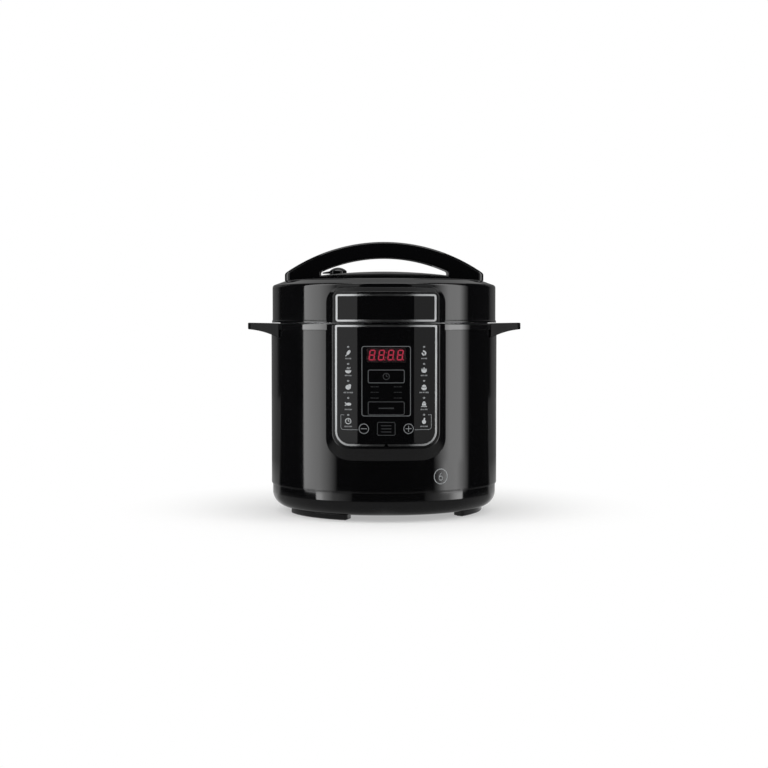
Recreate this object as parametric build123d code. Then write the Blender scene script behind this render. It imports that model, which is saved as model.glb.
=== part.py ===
"""Electric pressure cooker: a 6 litre twist-lid cooker with a round body, a front control
panel, an arched lid handle and two side handles.

Millimetres, +Z up. The origin is on the pot's axis at floor level, and the control panel faces -Y.
Radii build outwards from the inner pot and heights build upwards from the floor.
Angles "from the front" are measured from -Y and grow towards +X.
"""

import os
from math import asin, copysign, cos, degrees, hypot, radians, sin, sqrt, tan

from build123d import *

# Fits and gaps
running_gap = 0.3
slide_gap = 0.4
key_gap = 0.25
hole_gap = 0.2

# Inner pot
pot_bore_radius = 111.0
pot_wall = 2.0
pot_floor = 2.2
pot_depth = 160.0
pot_corner = 18.0
pot_rim_width = 3.0
pot_rim_height = 2.0
pot_rim_rise = 4.0

# Outer pot with its toothed collar
rim_clearance = 1.0
outer_pot_wall = 1.5
outer_pot_corner = 12.0
collar_step = 11.5
collar_height = 24.0
flange_reach = 5.5
flange_bolt_count = 4
flange_bolt_angle = 45.0
tooth_count = 12
tooth_span = 12.0
tooth_height = 2.5
tooth_depth = 6.0

# Heights below the pot
foot_height = 7.0
base_height = 29.5
under_pot_space = 46.0
plate_stand = 3.5
plate_thickness = 17.5

# Body
trough_width = 8.0
ring_wall = 4.2
ring_proud = 1.2
ring_height = 7.5
ring_edge = 1.2
ledge_thickness = 2.5
sleeve_wall = 1.0
base_inset = 1.5
base_round = 18.0
base_wall = 2.5
bead_height = 1.2
bead_proud = 1.0
spigot_height = 5.0
spigot_wall = 2.0

# Bottom cover
cover_margin = 4.0
cover_lip = 6.0
cover_lip_height = 5.0
cover_thickness = 2.0
cover_screw_count = 6
cover_screw_angle = 30.0
vent_slot_length = 46.0
vent_slot_width = 4.0
vent_slot_pitch = 10.0
vent_slot_count = 6
vent_offset = 56.0

# Feet
foot_span = 48.0
foot_width = 15.0
foot_corner = 3.0
foot_edge = 1.5
foot_overhang = 1.5
foot_names = ("foot_left", "foot_right", "foot_rear")
foot_angle = -46.0
pad_inset = 3.5
pad_proud = 0.8
pad_thickness = 2.0

# Side handles
handle_reach = 27.5
handle_tip_height = 8.0
handle_root_height = 25.0
handle_tip_half_width = 38.0
handle_root_half_width = 60.0
handle_corner = 12.0
handle_tip_bow = 2.0
handle_tip_slant = 1.5
handle_lift = 1.0
handle_bow = 1.6
handle_edge = 1.2

# Lid cover and dome
seam_gap = 1.0
lid_inset = 1.5
lid_wall = 2.2
lip_proud = 0.7
lip_height = 2.4
skirt_height = 46.0
shoulder_width = 14.5
shoulder_rise = 5.2
shoulder_edge = 4.0
dome_gap = 1.0
dome_seat_width = 8.0
dome_edge_height = 4.5
dome_edge_step = 0.7
dome_rise = 11.8
dome_wall = 2.4
dome_round = 3.0
dome_edge_flat = 0.02
post_radius = 5.5
post_circle = 70.0
post_count = 4

# Lid plate and seal
tooth_clearance = 0.6
plate_edge_clearance = 1.0
lid_plate_wall = 2.0
lid_plate_rise = 11.0
lid_plate_slope = 9.0
seal_width = 6.7
seal_skirt = 11.0
seal_shoulder = 3.0
seal_lip = 2.5
seal_notch = 2.0
carrier_wall = 1.2

# Lid handle
arch_rise = 39.5
arch_edge_gap = 0.5
arch_thickness = 19.8
arch_end_height = 9.0
arch_width = 38.0
arch_foot_width = 48.0
arch_foot_length = 44.5
arch_corner = 7.0
arch_edge = 4.0
arch_grip_edge = 2.0
arch_crook = 3.0
arch_shell = 3.2
grip_half_span = 60.0
grip_thickness = 2.2
handle_screw_x = 102.0
handle_screw_y = 13.0

# Vent and float valves on the lid
valve_x = -58.0
valve_y = 44.0
vent_pipe_radius = 4.0
vent_bore_radius = 1.5
vent_collar_radius = 9.0
vent_collar_height = 3.0
vent_tip = 5.0
vent_tail = 6.0
weight_radius = 11.0
weight_height = 9.5
weight_lift = 1.5
weight_rim = 5.0
weight_lever_length = 20.0
weight_lever_width = 9.0
weight_lever_height = 6.5
weight_lever_tip = 3.0
weight_lever_corner = 3.0
weight_cap = 2.5
shield_radius = 13.0
shield_height = 11.0
shield_wall = 1.0
shield_round = 4.0
shield_slot_width = 2.0
shield_slot_height = 4.0
shield_slot_count = 8
float_x = 36.0
float_y = 46.0
float_radius = 3.0
float_head_radius = 5.0
float_head_height = 2.0
float_travel = 5.0
float_recess = 1.0

# Control panel
panel_proud = 9.0
panel_half_width = 63.0
panel_slope = 0.55
panel_corner = 20.0
panel_height = 145.0
panel_bottom_slope = 15.0
panel_wall = 2.5
panel_top_gap = 0.8
trim_inset = 0.9
trim_half_width = 59.5
trim_height = 140.9
trim_line = 2.2
trim_corner = 17.0
trim_top_corner = 1.5
trim_proud = 0.5
fascia_thickness = 2.0
fascia_recess = 0.3
fascia_ledge = 7.3
panel_edge = 1.5
block_half_width = 62.0
block_slope = 0.52
block_height = 35.7
block_top_slope = 6.3
block_corner = 5.0
plate_trim_inset = 1.2
plate_trim_half_width = 58.8
plate_trim_height = 31.9
plate_trim_corner = 3.0

# Display and keys, with heights measured down from the top of the trim
lens_width = 46.0
lens_height = 17.0
lens_drop = 35.0
wide_key_width = 44.0
wide_key_height = 17.0
upper_key_drop = 59.7
lower_key_drop = 96.7
round_key_radius = 6.6
round_key_offset = 26.3
low_row_drop = 120.6
start_key_width = 22.6
start_key_height = 17.2
key_corner = 2.5
key_travel = 0.4
key_stem_radius = 2.2
board_thickness = 1.6
board_half_width = 54.0
board_margin = 14.0
board_setback = 16.0
board_clearance = 1.0
board_post_radius = 3.0
board_post_inset = 6.0
board_screw_radius = 1.0
board_screw_head = 2.0
board_screw_head_height = 1.0
board_screw_length = 3.4
switch_size = 6.0
switch_height = 3.5
led_depth = 8.0

# Heating plate and sensor
plate_radius = 95.0
plate_hole_radius = 17.0
stand_ring_radius = 78.0
stand_ring_width = 8.0
element_radius = 62.0
element_tube_radius = 3.0
element_gap_angle = 30.0
terminal_radius = 2.0
terminal_drop = 14.0
sensor_radius = 13.5
sensor_wall = 1.2
sensor_top = 2.0
sensor_flange = 1.6
sensor_flange_height = 1.5
sensor_travel = 2.5
sensor_cup_wall = 1.5
sensor_cup_depth = 10.0
sensor_cup_flange = 8.0
spring_wire_radius = 0.7
spring_clearance = 1.2
spring_turns = 6

# Electrics under the pot
power_board_length = 84.0
power_board_width = 62.0
board_stand_height = 6.0
board_stand_radius = 3.5
board_stand_inset = 6.0
transformer_length = 30.0
transformer_width = 24.0
relay_length = 20.0
relay_width = 16.0
component_height = 17.0
component_offset = 21.0
pressure_switch_length = 22.0
pressure_switch_width = 12.0
pressure_switch_height = 10.0
pressure_switch_radius = 52.0
pressure_switch_angle = 60.0
fuse_length = 18.0
fuse_radius = 3.0
fuse_clip_length = 8.0
fuse_clip_wall = 1.0
fuse_place_radius = 46.0
fuse_angle = -70.0

# Screws
screw_radius = 1.5
screw_head_radius = 2.6
screw_head_height = 1.8
screw_bite = 4.0

# Power inlet at the back
inlet_flange_width = 40.0
inlet_flange_height = 31.0
inlet_flange_proud = 4.0
inlet_flange_corner = 4.0
inlet_body_width = 30.0
inlet_body_height = 22.0
inlet_body_depth = 21.0
inlet_socket_width = 25.0
inlet_socket_height = 17.0
inlet_socket_depth = 17.0
inlet_socket_chamfer = 4.5
inlet_pin_length = 13.0
inlet_pin_width = 2.0
inlet_pin_height = 4.0
inlet_pin_spacing = 7.0
inlet_pin_drop = 1.5
inlet_earth_rise = 4.0
inlet_rise = 26.0

# Condensate cup at the back
cup_half_width = 38.0
cup_depth = 11.5
cup_height = 62.0
cup_wall = 1.8
cup_corner = 8.0
cup_drop = 11.0
cup_rib_reach = 3.0
cup_rib_height = 4.0
cup_rib_drop = 12.0
holder_plate = 2.0
holder_corner = 5.0
rail_thickness = 2.6
rail_wall = 2.5
rail_depth = 9.0
spout_height = 6.0
spout_bore = 3.0
spout_corner = 1.0
drain_width = 8.0

# Radii, from the pot outwards
pot_radius = pot_bore_radius + pot_wall
rim_radius = pot_radius + pot_rim_width
outer_pot_bore = rim_radius + rim_clearance
outer_pot_radius = outer_pot_bore + outer_pot_wall
collar_bore = outer_pot_bore + collar_step
collar_radius = collar_bore + outer_pot_wall
flange_radius = collar_radius + flange_reach
flange_bolt_circle = collar_radius + flange_reach / 2
trough_radius = collar_radius + trough_width
ring_radius = trough_radius + ring_wall
body_radius = ring_radius - ring_proud
sleeve_bore = body_radius - sleeve_wall
spigot_radius = sleeve_bore - running_gap
base_radius = body_radius - base_inset
foot_radius = base_radius - base_round + foot_overhang
cover_radius = foot_radius - foot_width - cover_margin
cover_opening_radius = cover_radius - cover_lip
lid_radius = body_radius - lid_inset
lid_bore = lid_radius - lid_wall
lip_radius = lid_radius + lip_proud
dome_seat_radius = lid_radius - shoulder_width
dome_radius = dome_seat_radius - dome_gap
dome_sphere = (dome_radius**2 + dome_rise**2) / (2 * dome_rise)
tooth_bore = collar_bore - tooth_depth
lid_plate_radius = tooth_bore - plate_edge_clearance
lid_tooth_radius = collar_bore - plate_edge_clearance
seal_outer = lid_plate_radius - lid_plate_wall - running_gap
seal_inner = seal_outer - seal_width
lid_plate_inner = seal_inner - running_gap - lid_plate_wall
arch_half_span = dome_radius - arch_edge_gap
arch_radius = (arch_half_span**2 + arch_rise**2) / (2 * arch_rise)
arch_bore = arch_radius - arch_thickness
face_radius = body_radius + panel_proud
fascia_radius = face_radius - fascia_recess
fascia_back = fascia_radius - fascia_thickness
ledge_back = fascia_back - panel_wall
block_edge = plate_trim_inset - 2 * hole_gap
sensor_cup_bore = sensor_radius + sensor_flange + running_gap

# Heights, from the floor up
base_z = foot_height
base_top = base_z + base_height
cover_top = base_z + cover_thickness
pot_seat = base_z + under_pot_space
pot_seat_top = pot_seat + outer_pot_wall
plate_z = pot_seat_top + plate_stand
plate_top = plate_z + plate_thickness
pot_z = plate_top + running_gap
rim_z = pot_z + pot_floor + pot_depth
ring_top = rim_z - pot_rim_rise
ring_z = ring_top - ring_height
ledge_top = ring_z + ledge_thickness
flange_top = ledge_top + outer_pot_wall
collar_top = flange_top + collar_height
tooth_z = collar_top - tooth_height
lid_z = ring_top + seam_gap
lid_tooth_top = tooth_z - tooth_clearance
lid_tooth_z = lid_tooth_top - tooth_height
lid_plate_top = lid_tooth_top + lid_plate_rise
lid_plate_under = lid_plate_top - lid_plate_wall
seal_top = lid_tooth_z - running_gap
seal_z = rim_z + running_gap
shoulder_z = lid_z + skirt_height
shoulder_top = shoulder_z + shoulder_rise
dome_edge_z = shoulder_top + dome_edge_step
dome_seat_z = dome_edge_z - dome_edge_height
dome_top = dome_edge_z + dome_rise
arch_top = dome_edge_z + arch_end_height + arch_rise
arch_centre = arch_top - arch_radius
panel_top = ring_top - panel_top_gap
panel_z = panel_top - panel_height
trim_top = panel_top - trim_inset
trim_z = trim_top - trim_height
block_top = lid_z + block_height
plate_trim_z = lid_z + plate_trim_inset
plate_trim_top = plate_trim_z + plate_trim_height
board_z = trim_z + board_margin
board_top = trim_top - board_margin
board_face = face_radius - board_setback
board_post_x = board_half_width - board_post_radius
power_board_z = cover_top + board_stand_height
power_board_top = power_board_z + board_thickness
sensor_cup_z = pot_seat - sensor_cup_depth
inlet_z = base_top + inlet_rise
inlet_face = body_radius + inlet_flange_proud
cup_back = body_radius + holder_plate + slide_gap
cup_radius = cup_back + cup_depth
cup_top = ring_z - cup_drop
cup_z = cup_top - cup_height
cup_rib_z = cup_top - cup_rib_drop
holder_half_width = cup_half_width + cup_rib_reach + slide_gap + rail_wall
spout_z = ring_z - spout_height

both_sides = (-1, 1)


def polar(radius, angle):
    """The point at this radius and angle from the front."""
    return radius * sin(radians(angle)), -radius * cos(radians(angle))


def around(count, first=0.0):
    """Evenly spaced angles from the front."""
    return [first + 360 / count * step for step in range(count)]


def dome_height(radius):
    """Height of the dome's outer surface at a radius."""
    return dome_top - dome_sphere + sqrt(dome_sphere**2 - radius**2)


def turned(*points):
    """A solid turned about Z from a closed outline of (radius, height) points."""
    return revolve(Plane.XZ * make_face(Polyline(*points, close=True)), Axis.Z)


def disc(radius, low, high, x=0.0, y=0.0):
    """An upright cylinder between two heights."""
    return Pos(x, y, low) * Cylinder(radius, high - low, align=(Align.CENTER, Align.CENTER, Align.MIN))


def tube(bore, radius, low, high, x=0.0, y=0.0):
    """An upright pipe between two heights."""
    return disc(radius, low, high, x, y) - disc(bore, low, high, x, y)


def brick(x0, x1, y0, y1, z0, z1):
    """A box given by its limits."""
    return Pos(x0, y0, z0) * Box(x1 - x0, y1 - y0, z1 - z0, align=(Align.MIN, Align.MIN, Align.MIN))


def sector(bore, radius, low, high, middle, span):
    """A piece of a pipe that spans an angle about a middle angle from the front."""
    outline = make_face(Polyline((bore, low), (radius, low), (radius, high), (bore, high), close=True))
    return Rot(0, 0, middle - 90 - span / 2) * revolve(Plane.XZ * outline, Axis.Z, span)


def across(outline, near, far):
    """A front-view outline of (x, z) swept from y = near to y = far."""
    return Pos(0, far, 0) * extrude(Plane.XZ * outline, far - near)


def bar(radius, near, far, x, z):
    """A level cylinder from y = near to y = far."""
    return across(Pos(x, z) * Circle(radius), near, far)


def sheet(half_width, low, high, low_corner, high_corner):
    """A front-view rectangle with one corner radius below and one above."""
    corners = ((-half_width, low), (half_width, low), (half_width, high), (-half_width, high))
    flat = make_face(Polyline(*corners, close=True))
    flat = fillet(flat.vertices().sort_by(Axis.Y)[:2], low_corner)
    return fillet(flat.vertices().sort_by(Axis.Y)[-2:], high_corner)


def panel(width, height, corner, drop):
    """A rounded front-view rectangle, placed down from the top of the trim."""
    return Pos(0, trim_top - drop) * RectangleRounded(width, height, corner)


def curved(outline, back, front, angle=0.0):
    """A plate bent round the body's axis: the outline cut from a pipe, at an angle from the front."""
    low = outline.bounding_box().min.Y
    high = outline.bounding_box().max.Y
    plate = across(outline, -front, 0) & tube(back, front, low, high)
    return Rot(0, 0, angle) * plate


def screw(x, y, seat, tip):
    """An upright pan-head screw; its head lies beyond the seat, away from the tip."""
    head = seat - screw_head_height if tip > seat else seat + screw_head_height
    shank = disc(screw_radius, min(seat, tip), max(seat, tip), x, y)
    return shank + disc(screw_head_radius, min(seat, head), max(seat, head), x, y)


def teeth(bore, radius, low, high, first):
    """Bayonet teeth spaced evenly round the axis."""
    return [sector(bore, radius, low, high, angle, tooth_span) for angle in around(tooth_count, first)]


# Cooking pot and outer pot


def inner_pot():
    """The cooking pot: a deep bowl with a turned-out rim."""
    low = pot_z + pot_floor
    outside = turned((0, pot_z), (pot_radius, pot_z), (pot_radius, rim_z), (0, rim_z))
    outside = fillet(outside.edges().sort_by(Axis.Z)[:1], pot_corner)
    inside = turned((0, low), (pot_bore_radius, low), (pot_bore_radius, rim_z), (0, rim_z))
    inside = fillet(inside.edges().sort_by(Axis.Z)[:1], pot_corner - pot_wall)
    return outside + disc(rim_radius, rim_z - pot_rim_height, rim_z) - inside


def outer_pot():
    """The steel pot that hangs on the top ring and carries the toothed collar."""
    outside = disc(outer_pot_radius, pot_seat, flange_top)
    outside = fillet(outside.edges().sort_by(Axis.Z)[:1], outer_pot_corner)
    inside = disc(outer_pot_bore, pot_seat_top, flange_top)
    inside = fillet(inside.edges().sort_by(Axis.Z)[:1], outer_pot_corner - outer_pot_wall)
    pot = outside + disc(flange_radius, ledge_top, flange_top) - inside
    pot += tube(collar_bore, collar_radius, flange_top, collar_top)
    pot += teeth(tooth_bore, collar_bore + outer_pot_wall / 2, tooth_z, collar_top, 0.0)
    pot -= disc(sensor_cup_bore, pot_seat, pot_seat_top)
    for x, y in terminal_places():
        pot -= disc(terminal_radius + running_gap, pot_seat, pot_seat_top, x, y)
    for x, y in flange_bolt_places():
        pot -= disc(screw_radius + hole_gap, ledge_top, flange_top, x, y)
    return pot


def flange_bolt_places():
    return [polar(flange_bolt_circle, angle) for angle in around(flange_bolt_count, flange_bolt_angle)]


def flange_bolts():
    """Screws that hold the outer pot down on the ring's ledge."""
    return [screw(x, y, flange_top, ring_z) for x, y in flange_bolt_places()]


# Body


def base_solid(inset):
    """The base's outer form, drawn in by an inset and open upwards."""
    radius = base_radius - inset
    low = base_z + inset
    bend = base_round - inset
    diagonal = bend * sqrt(0.5)
    middle = (radius - bend + diagonal, low + bend - diagonal)
    start = (radius - bend, low)
    end = (radius, low + bend)
    outline = Polyline(end, (radius, base_top), (0, base_top), (0, low), start)
    outline += ThreePointArc(start, middle, end)
    return revolve(Plane.XZ * make_face(outline), Axis.Z)


def base_shell():
    """The rounded base ring, with a bead under the sleeve and a spigot inside it."""
    shell = base_solid(0) - base_solid(base_wall)
    bead_z = base_top - bead_height
    shell += tube(spigot_radius - spigot_wall, spigot_radius, bead_z, base_top + spigot_height)
    shell += tube(spigot_radius - spigot_wall, base_radius + bead_proud, bead_z, base_top)
    lip_top = cover_top + cover_lip_height
    shell += tube(cover_opening_radius, cover_radius + base_wall, base_z, lip_top)
    shell -= disc(cover_radius, base_z, cover_top) + disc(cover_opening_radius, base_z, lip_top)
    for x, y in cover_screw_places():
        shell -= disc(screw_radius + hole_gap, cover_top, cover_top + screw_bite, x, y)
    return shell


def cover_screw_places():
    circle = cover_opening_radius + cover_lip / 2
    return [polar(circle, angle) for angle in around(cover_screw_count, cover_screw_angle)]


def power_board_corners():
    across_x = power_board_length / 2 - board_stand_inset
    across_y = power_board_width / 2 - board_stand_inset
    return [(x * across_x, y * across_y) for x in both_sides for y in both_sides]


def bottom_cover():
    """The disc that closes the base, with vent slots and stands for the power board."""
    cover = disc(cover_radius - hole_gap, base_z, cover_top)
    slot = extrude(SlotOverall(vent_slot_length, vent_slot_width, rotation=90), cover_thickness)
    for side in both_sides:
        for step in range(vent_slot_count):
            x = (step - (vent_slot_count - 1) / 2) * vent_slot_pitch
            cover -= Pos(x, side * vent_offset, base_z) * slot
    for x, y in power_board_corners():
        cover += disc(board_stand_radius, cover_top, power_board_z, x, y)
        cover -= disc(screw_radius + hole_gap, power_board_z - screw_bite, power_board_z, x, y)
    for x, y in cover_screw_places():
        cover -= disc(screw_radius + hole_gap, base_z, cover_top, x, y)
    return cover


def cover_screws():
    """Screws from below that hold the bottom cover."""
    return [screw(x, y, base_z, cover_top + screw_bite) for x, y in cover_screw_places()]


def foot(angle):
    """One curved foot under the base, with a pocket for its pad."""
    solid = sector(foot_radius - foot_width, foot_radius, pad_proud, base_z, angle, foot_span)
    solid = fillet(solid.edges().filter_by(Axis.Z), foot_corner)
    solid = fillet(solid.faces().sort_by(Axis.Z)[0].edges(), foot_edge)
    return solid - pad(angle)


def pad(angle):
    """The soft strip set into a foot."""
    inset_angle = degrees(pad_inset / foot_radius)
    outer = foot_radius - pad_inset
    inner = foot_radius - foot_width + pad_inset
    return sector(inner, outer, 0, pad_thickness, angle, foot_span - 2 * inset_angle)


def foot_pads():
    return [pad(angle) for angle in around(len(foot_names), foot_angle)]


def body_sleeve():
    """The round sheet body, with openings behind the panel and at the inlet."""
    sleeve = tube(sleeve_bore, body_radius, base_top, ring_z)
    window = board_half_width + board_clearance
    sleeve -= brick(-window, window, -body_radius, 0, board_z - board_clearance, board_top + board_clearance)
    return sleeve - inlet_core(hole_gap)


def top_ring():
    """The band round the top of the body, with the ledge that carries the outer pot."""
    ring = turned(
        (outer_pot_radius + rim_clearance, ring_z),
        (ring_radius, ring_z),
        (ring_radius, ring_top),
        (trough_radius, ring_top),
        (trough_radius, ledge_top),
        (outer_pot_radius + rim_clearance, ledge_top),
    )
    top_edges = ring.edges().filter_by(GeomType.CIRCLE).group_by(Axis.Z)[-1]
    ring = fillet(top_edges.sort_by(SortBy.RADIUS)[-1:], ring_edge)
    ring += tube(spigot_radius - spigot_wall, spigot_radius, ring_z - spigot_height, ring_z)
    for x, y in flange_bolt_places():
        ring -= disc(screw_radius + hole_gap, ring_z, ledge_top, x, y)
    drain = brick(-drain_width / 2, drain_width / 2, flange_radius, ring_radius, ledge_top, flange_top)
    return ring - drain


def side_handle(side):
    """One flat grip on the ring: a plan outline cut by an arched side view."""
    tip = ring_radius + handle_reach
    root = sqrt(ring_radius**2 - handle_root_half_width**2)
    edge = tip - handle_tip_bow
    half = handle_tip_half_width
    plan = Polyline((edge, half), (root, handle_root_half_width), (0, handle_root_half_width))
    plan += Polyline((0, handle_root_half_width), (0, -handle_root_half_width))
    plan += Polyline((0, -handle_root_half_width), (root, -handle_root_half_width), (edge, -half))
    plan += ThreePointArc((edge, -half), (tip, 0), (edge, half))
    plan = make_face(plan)
    plan = fillet(plan.vertices().sort_by(Axis.X)[-2:], handle_corner)
    high = ring_top + handle_lift
    low = ring_top - handle_root_height
    under = high - handle_tip_height
    start = root - handle_corner
    bend = ((ring_radius + tip) / 2, under - handle_bow)
    view = Polyline((tip + handle_tip_slant, under), (tip, high), (start, ring_top), (start, low))
    view += ThreePointArc((start, low), bend, (tip + handle_tip_slant, under))
    grip = extrude(Pos(0, 0, low) * plan, high - low)
    grip &= across(make_face(view), -ring_radius, ring_radius)
    broad = grip.faces().sort_by(SortBy.AREA)[-2:]
    grip = fillet(broad[0].edges() + broad[1].edges(), handle_edge)
    grip -= disc(ring_radius, low, high)
    return grip if side > 0 else mirror(grip, Plane.YZ)


# Lid


def lid_outside():
    """The lid cover's outer form, filled."""
    outline = make_face(
        Polyline(
            (0, lid_z),
            (lip_radius, lid_z),
            (lip_radius, lid_z + lip_height),
            (lid_radius, lid_z + lip_height + lip_proud),
            (lid_radius, shoulder_z),
            (dome_seat_radius, shoulder_top),
            (0, shoulder_top),
            close=True,
        )
    )
    shoulder = outline.vertices().sort_by_distance((lid_radius, shoulder_z))[:1]
    return revolve(Plane.XZ * fillet(shoulder, shoulder_edge), Axis.Z)


def lid_cover():
    """The lid's skirt and sloping shoulder, with the seat that carries the dome."""
    seat_bore = dome_radius - dome_seat_width
    seat_under = dome_seat_z - lid_wall
    inside = turned(
        (0, lid_z),
        (lid_bore, lid_z),
        (lid_bore, shoulder_z - lid_wall),
        (seat_bore, seat_under),
        (seat_bore, dome_seat_z),
        (dome_seat_radius, dome_seat_z),
        (dome_seat_radius, shoulder_top),
        (0, shoulder_top),
    )
    return lid_outside() - inside


def dome_solid(inset=0.0):
    """The dome's outer form, drawn in by an inset, down to its seat. Its side limits its rounded edge."""
    radius = dome_radius - inset
    half = radius / 2
    rim_z = dome_height(radius) - inset
    rim = (radius, rim_z)
    top = (0, dome_top - inset)
    outline = Polyline(top, (0, dome_seat_z), (radius, dome_seat_z), rim)
    outline += ThreePointArc(rim, (half, dome_height(half) - inset), top)
    form = make_face(outline)
    corner = form.vertices().sort_by_distance(rim)[:1]
    side = rim_z - dome_seat_z - dome_edge_flat
    lean = asin(radius / dome_sphere)
    edge = min(dome_round, side * tan(radians(45) + lean / 2))
    return revolve(Plane.XZ * fillet(corner, edge), Axis.Z)


def post_places():
    return [polar(post_circle, angle) for angle in around(post_count)]


def lid_dome():
    """The shallow dome, with posts that hold the lid plate and holes for the valves."""
    dome = dome_solid() - dome_solid(dome_wall)
    for x, y in post_places():
        dome += disc(post_radius, lid_plate_top, dome_seat_z, x, y)
        dome += disc(post_radius, dome_seat_z, dome_top, x, y) & dome_solid()
        dome -= disc(screw_radius + hole_gap, lid_plate_top, lid_plate_top + 2 * screw_bite, x, y)
    for x, y in handle_screw_places():
        dome -= disc(screw_radius + hole_gap, dome_seat_z, dome_top, x, y)
    dome -= disc(vent_pipe_radius + running_gap, dome_seat_z, dome_top, valve_x, valve_y)
    return dome - disc(float_radius + running_gap, dome_seat_z, dome_top, float_x, float_y)


def lid_plate():
    """The steel pressure lid: a raised disc, a seal channel and outward teeth."""
    skirt_z = lid_tooth_top - seal_skirt
    crown = lid_plate_inner - lid_plate_slope
    plate = turned(
        (lid_plate_radius, lid_tooth_top),
        (lid_plate_radius, skirt_z),
        (lid_plate_radius - lid_plate_wall, skirt_z),
        (lid_plate_radius - lid_plate_wall, lid_tooth_z),
        (lid_plate_inner, lid_tooth_z),
        (crown, lid_plate_under),
        (0, lid_plate_under),
        (0, lid_plate_top),
        (crown + lid_plate_wall / 2, lid_plate_top),
        (lid_plate_inner + lid_plate_wall / 2, lid_tooth_top),
    )
    first = 180 / tooth_count
    plate += teeth(lid_plate_radius - lid_plate_wall / 2, lid_tooth_radius, lid_tooth_z, lid_tooth_top, first)
    for x, y in post_places():
        plate -= disc(screw_radius + hole_gap, lid_plate_under, lid_plate_top, x, y)
    plate -= disc(vent_pipe_radius, lid_plate_under, lid_plate_top, valve_x, valve_y)
    return plate - disc(float_radius + running_gap, lid_plate_under, lid_plate_top, float_x, float_y)


def lid_screws():
    """Screws from below that hold the lid plate to the dome's posts."""
    return [screw(x, y, lid_plate_under, lid_plate_top + 2 * screw_bite) for x, y in post_places()]


def sealing_ring():
    """The soft ring between the lid plate and the pot's rim."""
    notch = seal_inner + seal_notch
    return turned(
        (seal_inner, seal_z),
        (rim_radius, seal_z),
        (seal_outer, seal_z + seal_shoulder),
        (seal_outer, seal_top),
        (notch, seal_top),
        (notch, seal_z + seal_lip + seal_notch),
        (seal_inner, seal_z + seal_lip),
    )


def seal_carrier():
    """The steel band that keeps the sealing ring round."""
    radius = seal_inner + seal_notch - hole_gap
    return tube(radius - carrier_wall, radius, seal_z + seal_lip + seal_notch + hole_gap, seal_top)


def handle_screw_places():
    return [(x * handle_screw_x, y * handle_screw_y) for x in both_sides for y in both_sides]


def arch_plan():
    """The handle from above: waisted in the middle and wider at its feet."""
    half = arch_half_span
    wide = arch_foot_width / 2
    narrow = arch_width / 2
    outline = ThreePointArc((-half, wide), (0, narrow), (half, wide))
    outline += Line((half, wide), (half, -wide))
    outline += ThreePointArc((half, -wide), (0, -narrow), (-half, -wide))
    outline += Line((-half, -wide), (-half, wide))
    plan = make_face(outline)
    return fillet(plan.vertices(), arch_corner)


def arch_view(crown, opening):
    """The handle from the front: a band between two arcs on the same centre, standing on two feet."""
    low = dome_edge_z
    half = arch_half_span
    end_z = arch_centre + sqrt(crown**2 - half**2)
    outline = ThreePointArc((-half, end_z), (0, arch_centre + crown), (half, end_z))
    outline += Polyline((half, end_z), (half, low), (-half, low), (-half, end_z))
    inner = half - arch_foot_length
    inner_z = arch_centre + sqrt(opening**2 - inner**2)
    gap = ThreePointArc((-inner, inner_z), (0, arch_centre + opening), (inner, inner_z))
    gap += Polyline((inner, inner_z), (inner, low), (-inner, low), (-inner, inner_z))
    gap = make_face(gap)
    gap = fillet(gap.vertices().sort_by(Axis.Y)[-2:], arch_crook)
    return make_face(outline) - gap


def grip_band(inset, low, high):
    """A length of the arch between two radii, drawn in from its sides."""
    width = arch_width - 2 * inset
    band = Circle(high) - Circle(low)
    band &= Pos(0, high) * Rectangle(2 * grip_half_span, 2 * high)
    return across(Pos(0, arch_centre) * band, -width / 2, width / 2)


def lid_handle():
    """The arched handle, hollow under its crown and seated on the dome."""
    handle = across(arch_view(arch_radius, arch_bore), -arch_foot_width / 2, arch_foot_width / 2)
    handle &= extrude(Pos(0, 0, dome_edge_z) * arch_plan(), arch_top - dome_edge_z)
    crown = handle.faces().filter_by(GeomType.CYLINDER).sort_by(Axis.Z)[-1]
    handle = fillet(crown.edges(), arch_edge)
    hollow = handle.faces().filter_by(GeomType.CYLINDER).sort_by_distance((0, 0, arch_centre + arch_bore))[0]
    handle = fillet(hollow.edges().filter_by(Axis.Y, reverse=True), arch_grip_edge)
    handle -= dome_solid()
    handle -= grip_band(arch_shell, arch_bore, arch_radius - arch_shell)
    for x, y in handle_screw_places():
        handle -= disc(screw_radius + hole_gap, dome_seat_z, dome_top + screw_bite / 2, x, y)
    return handle


def handle_grip():
    """The cover that closes the hollow under the arch."""
    return grip_band(arch_shell + hole_gap, arch_bore, arch_bore + grip_thickness)


def handle_screws():
    """Screws from inside the dome that hold the handle's feet."""
    screws = []
    for x, y in handle_screw_places():
        under = dome_height(hypot(x, y) + screw_head_radius) - dome_wall
        screws.append(screw(x, y, under, dome_top + screw_bite / 2) - dome_solid_hit(x, y))
    return screws


def dome_solid_hit(x, y):
    """The part of the dome's wall that a screw head would touch."""
    ring = tube(screw_radius + hole_gap, screw_head_radius + hole_gap, dome_seat_z, dome_top, x, y)
    return ring & (dome_solid() - dome_solid(dome_wall))


# Valves


def vent_pipe():
    """The steam pipe through the lid plate and the dome."""
    tip = dome_height(hypot(valve_x, valve_y)) + vent_tip
    pipe = disc(vent_pipe_radius, lid_plate_under - vent_tail, tip, valve_x, valve_y)
    pipe += disc(vent_collar_radius, lid_plate_top, lid_plate_top + vent_collar_height, valve_x, valve_y)
    return pipe - disc(vent_bore_radius, lid_plate_under - vent_tail, tip, valve_x, valve_y)


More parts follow.
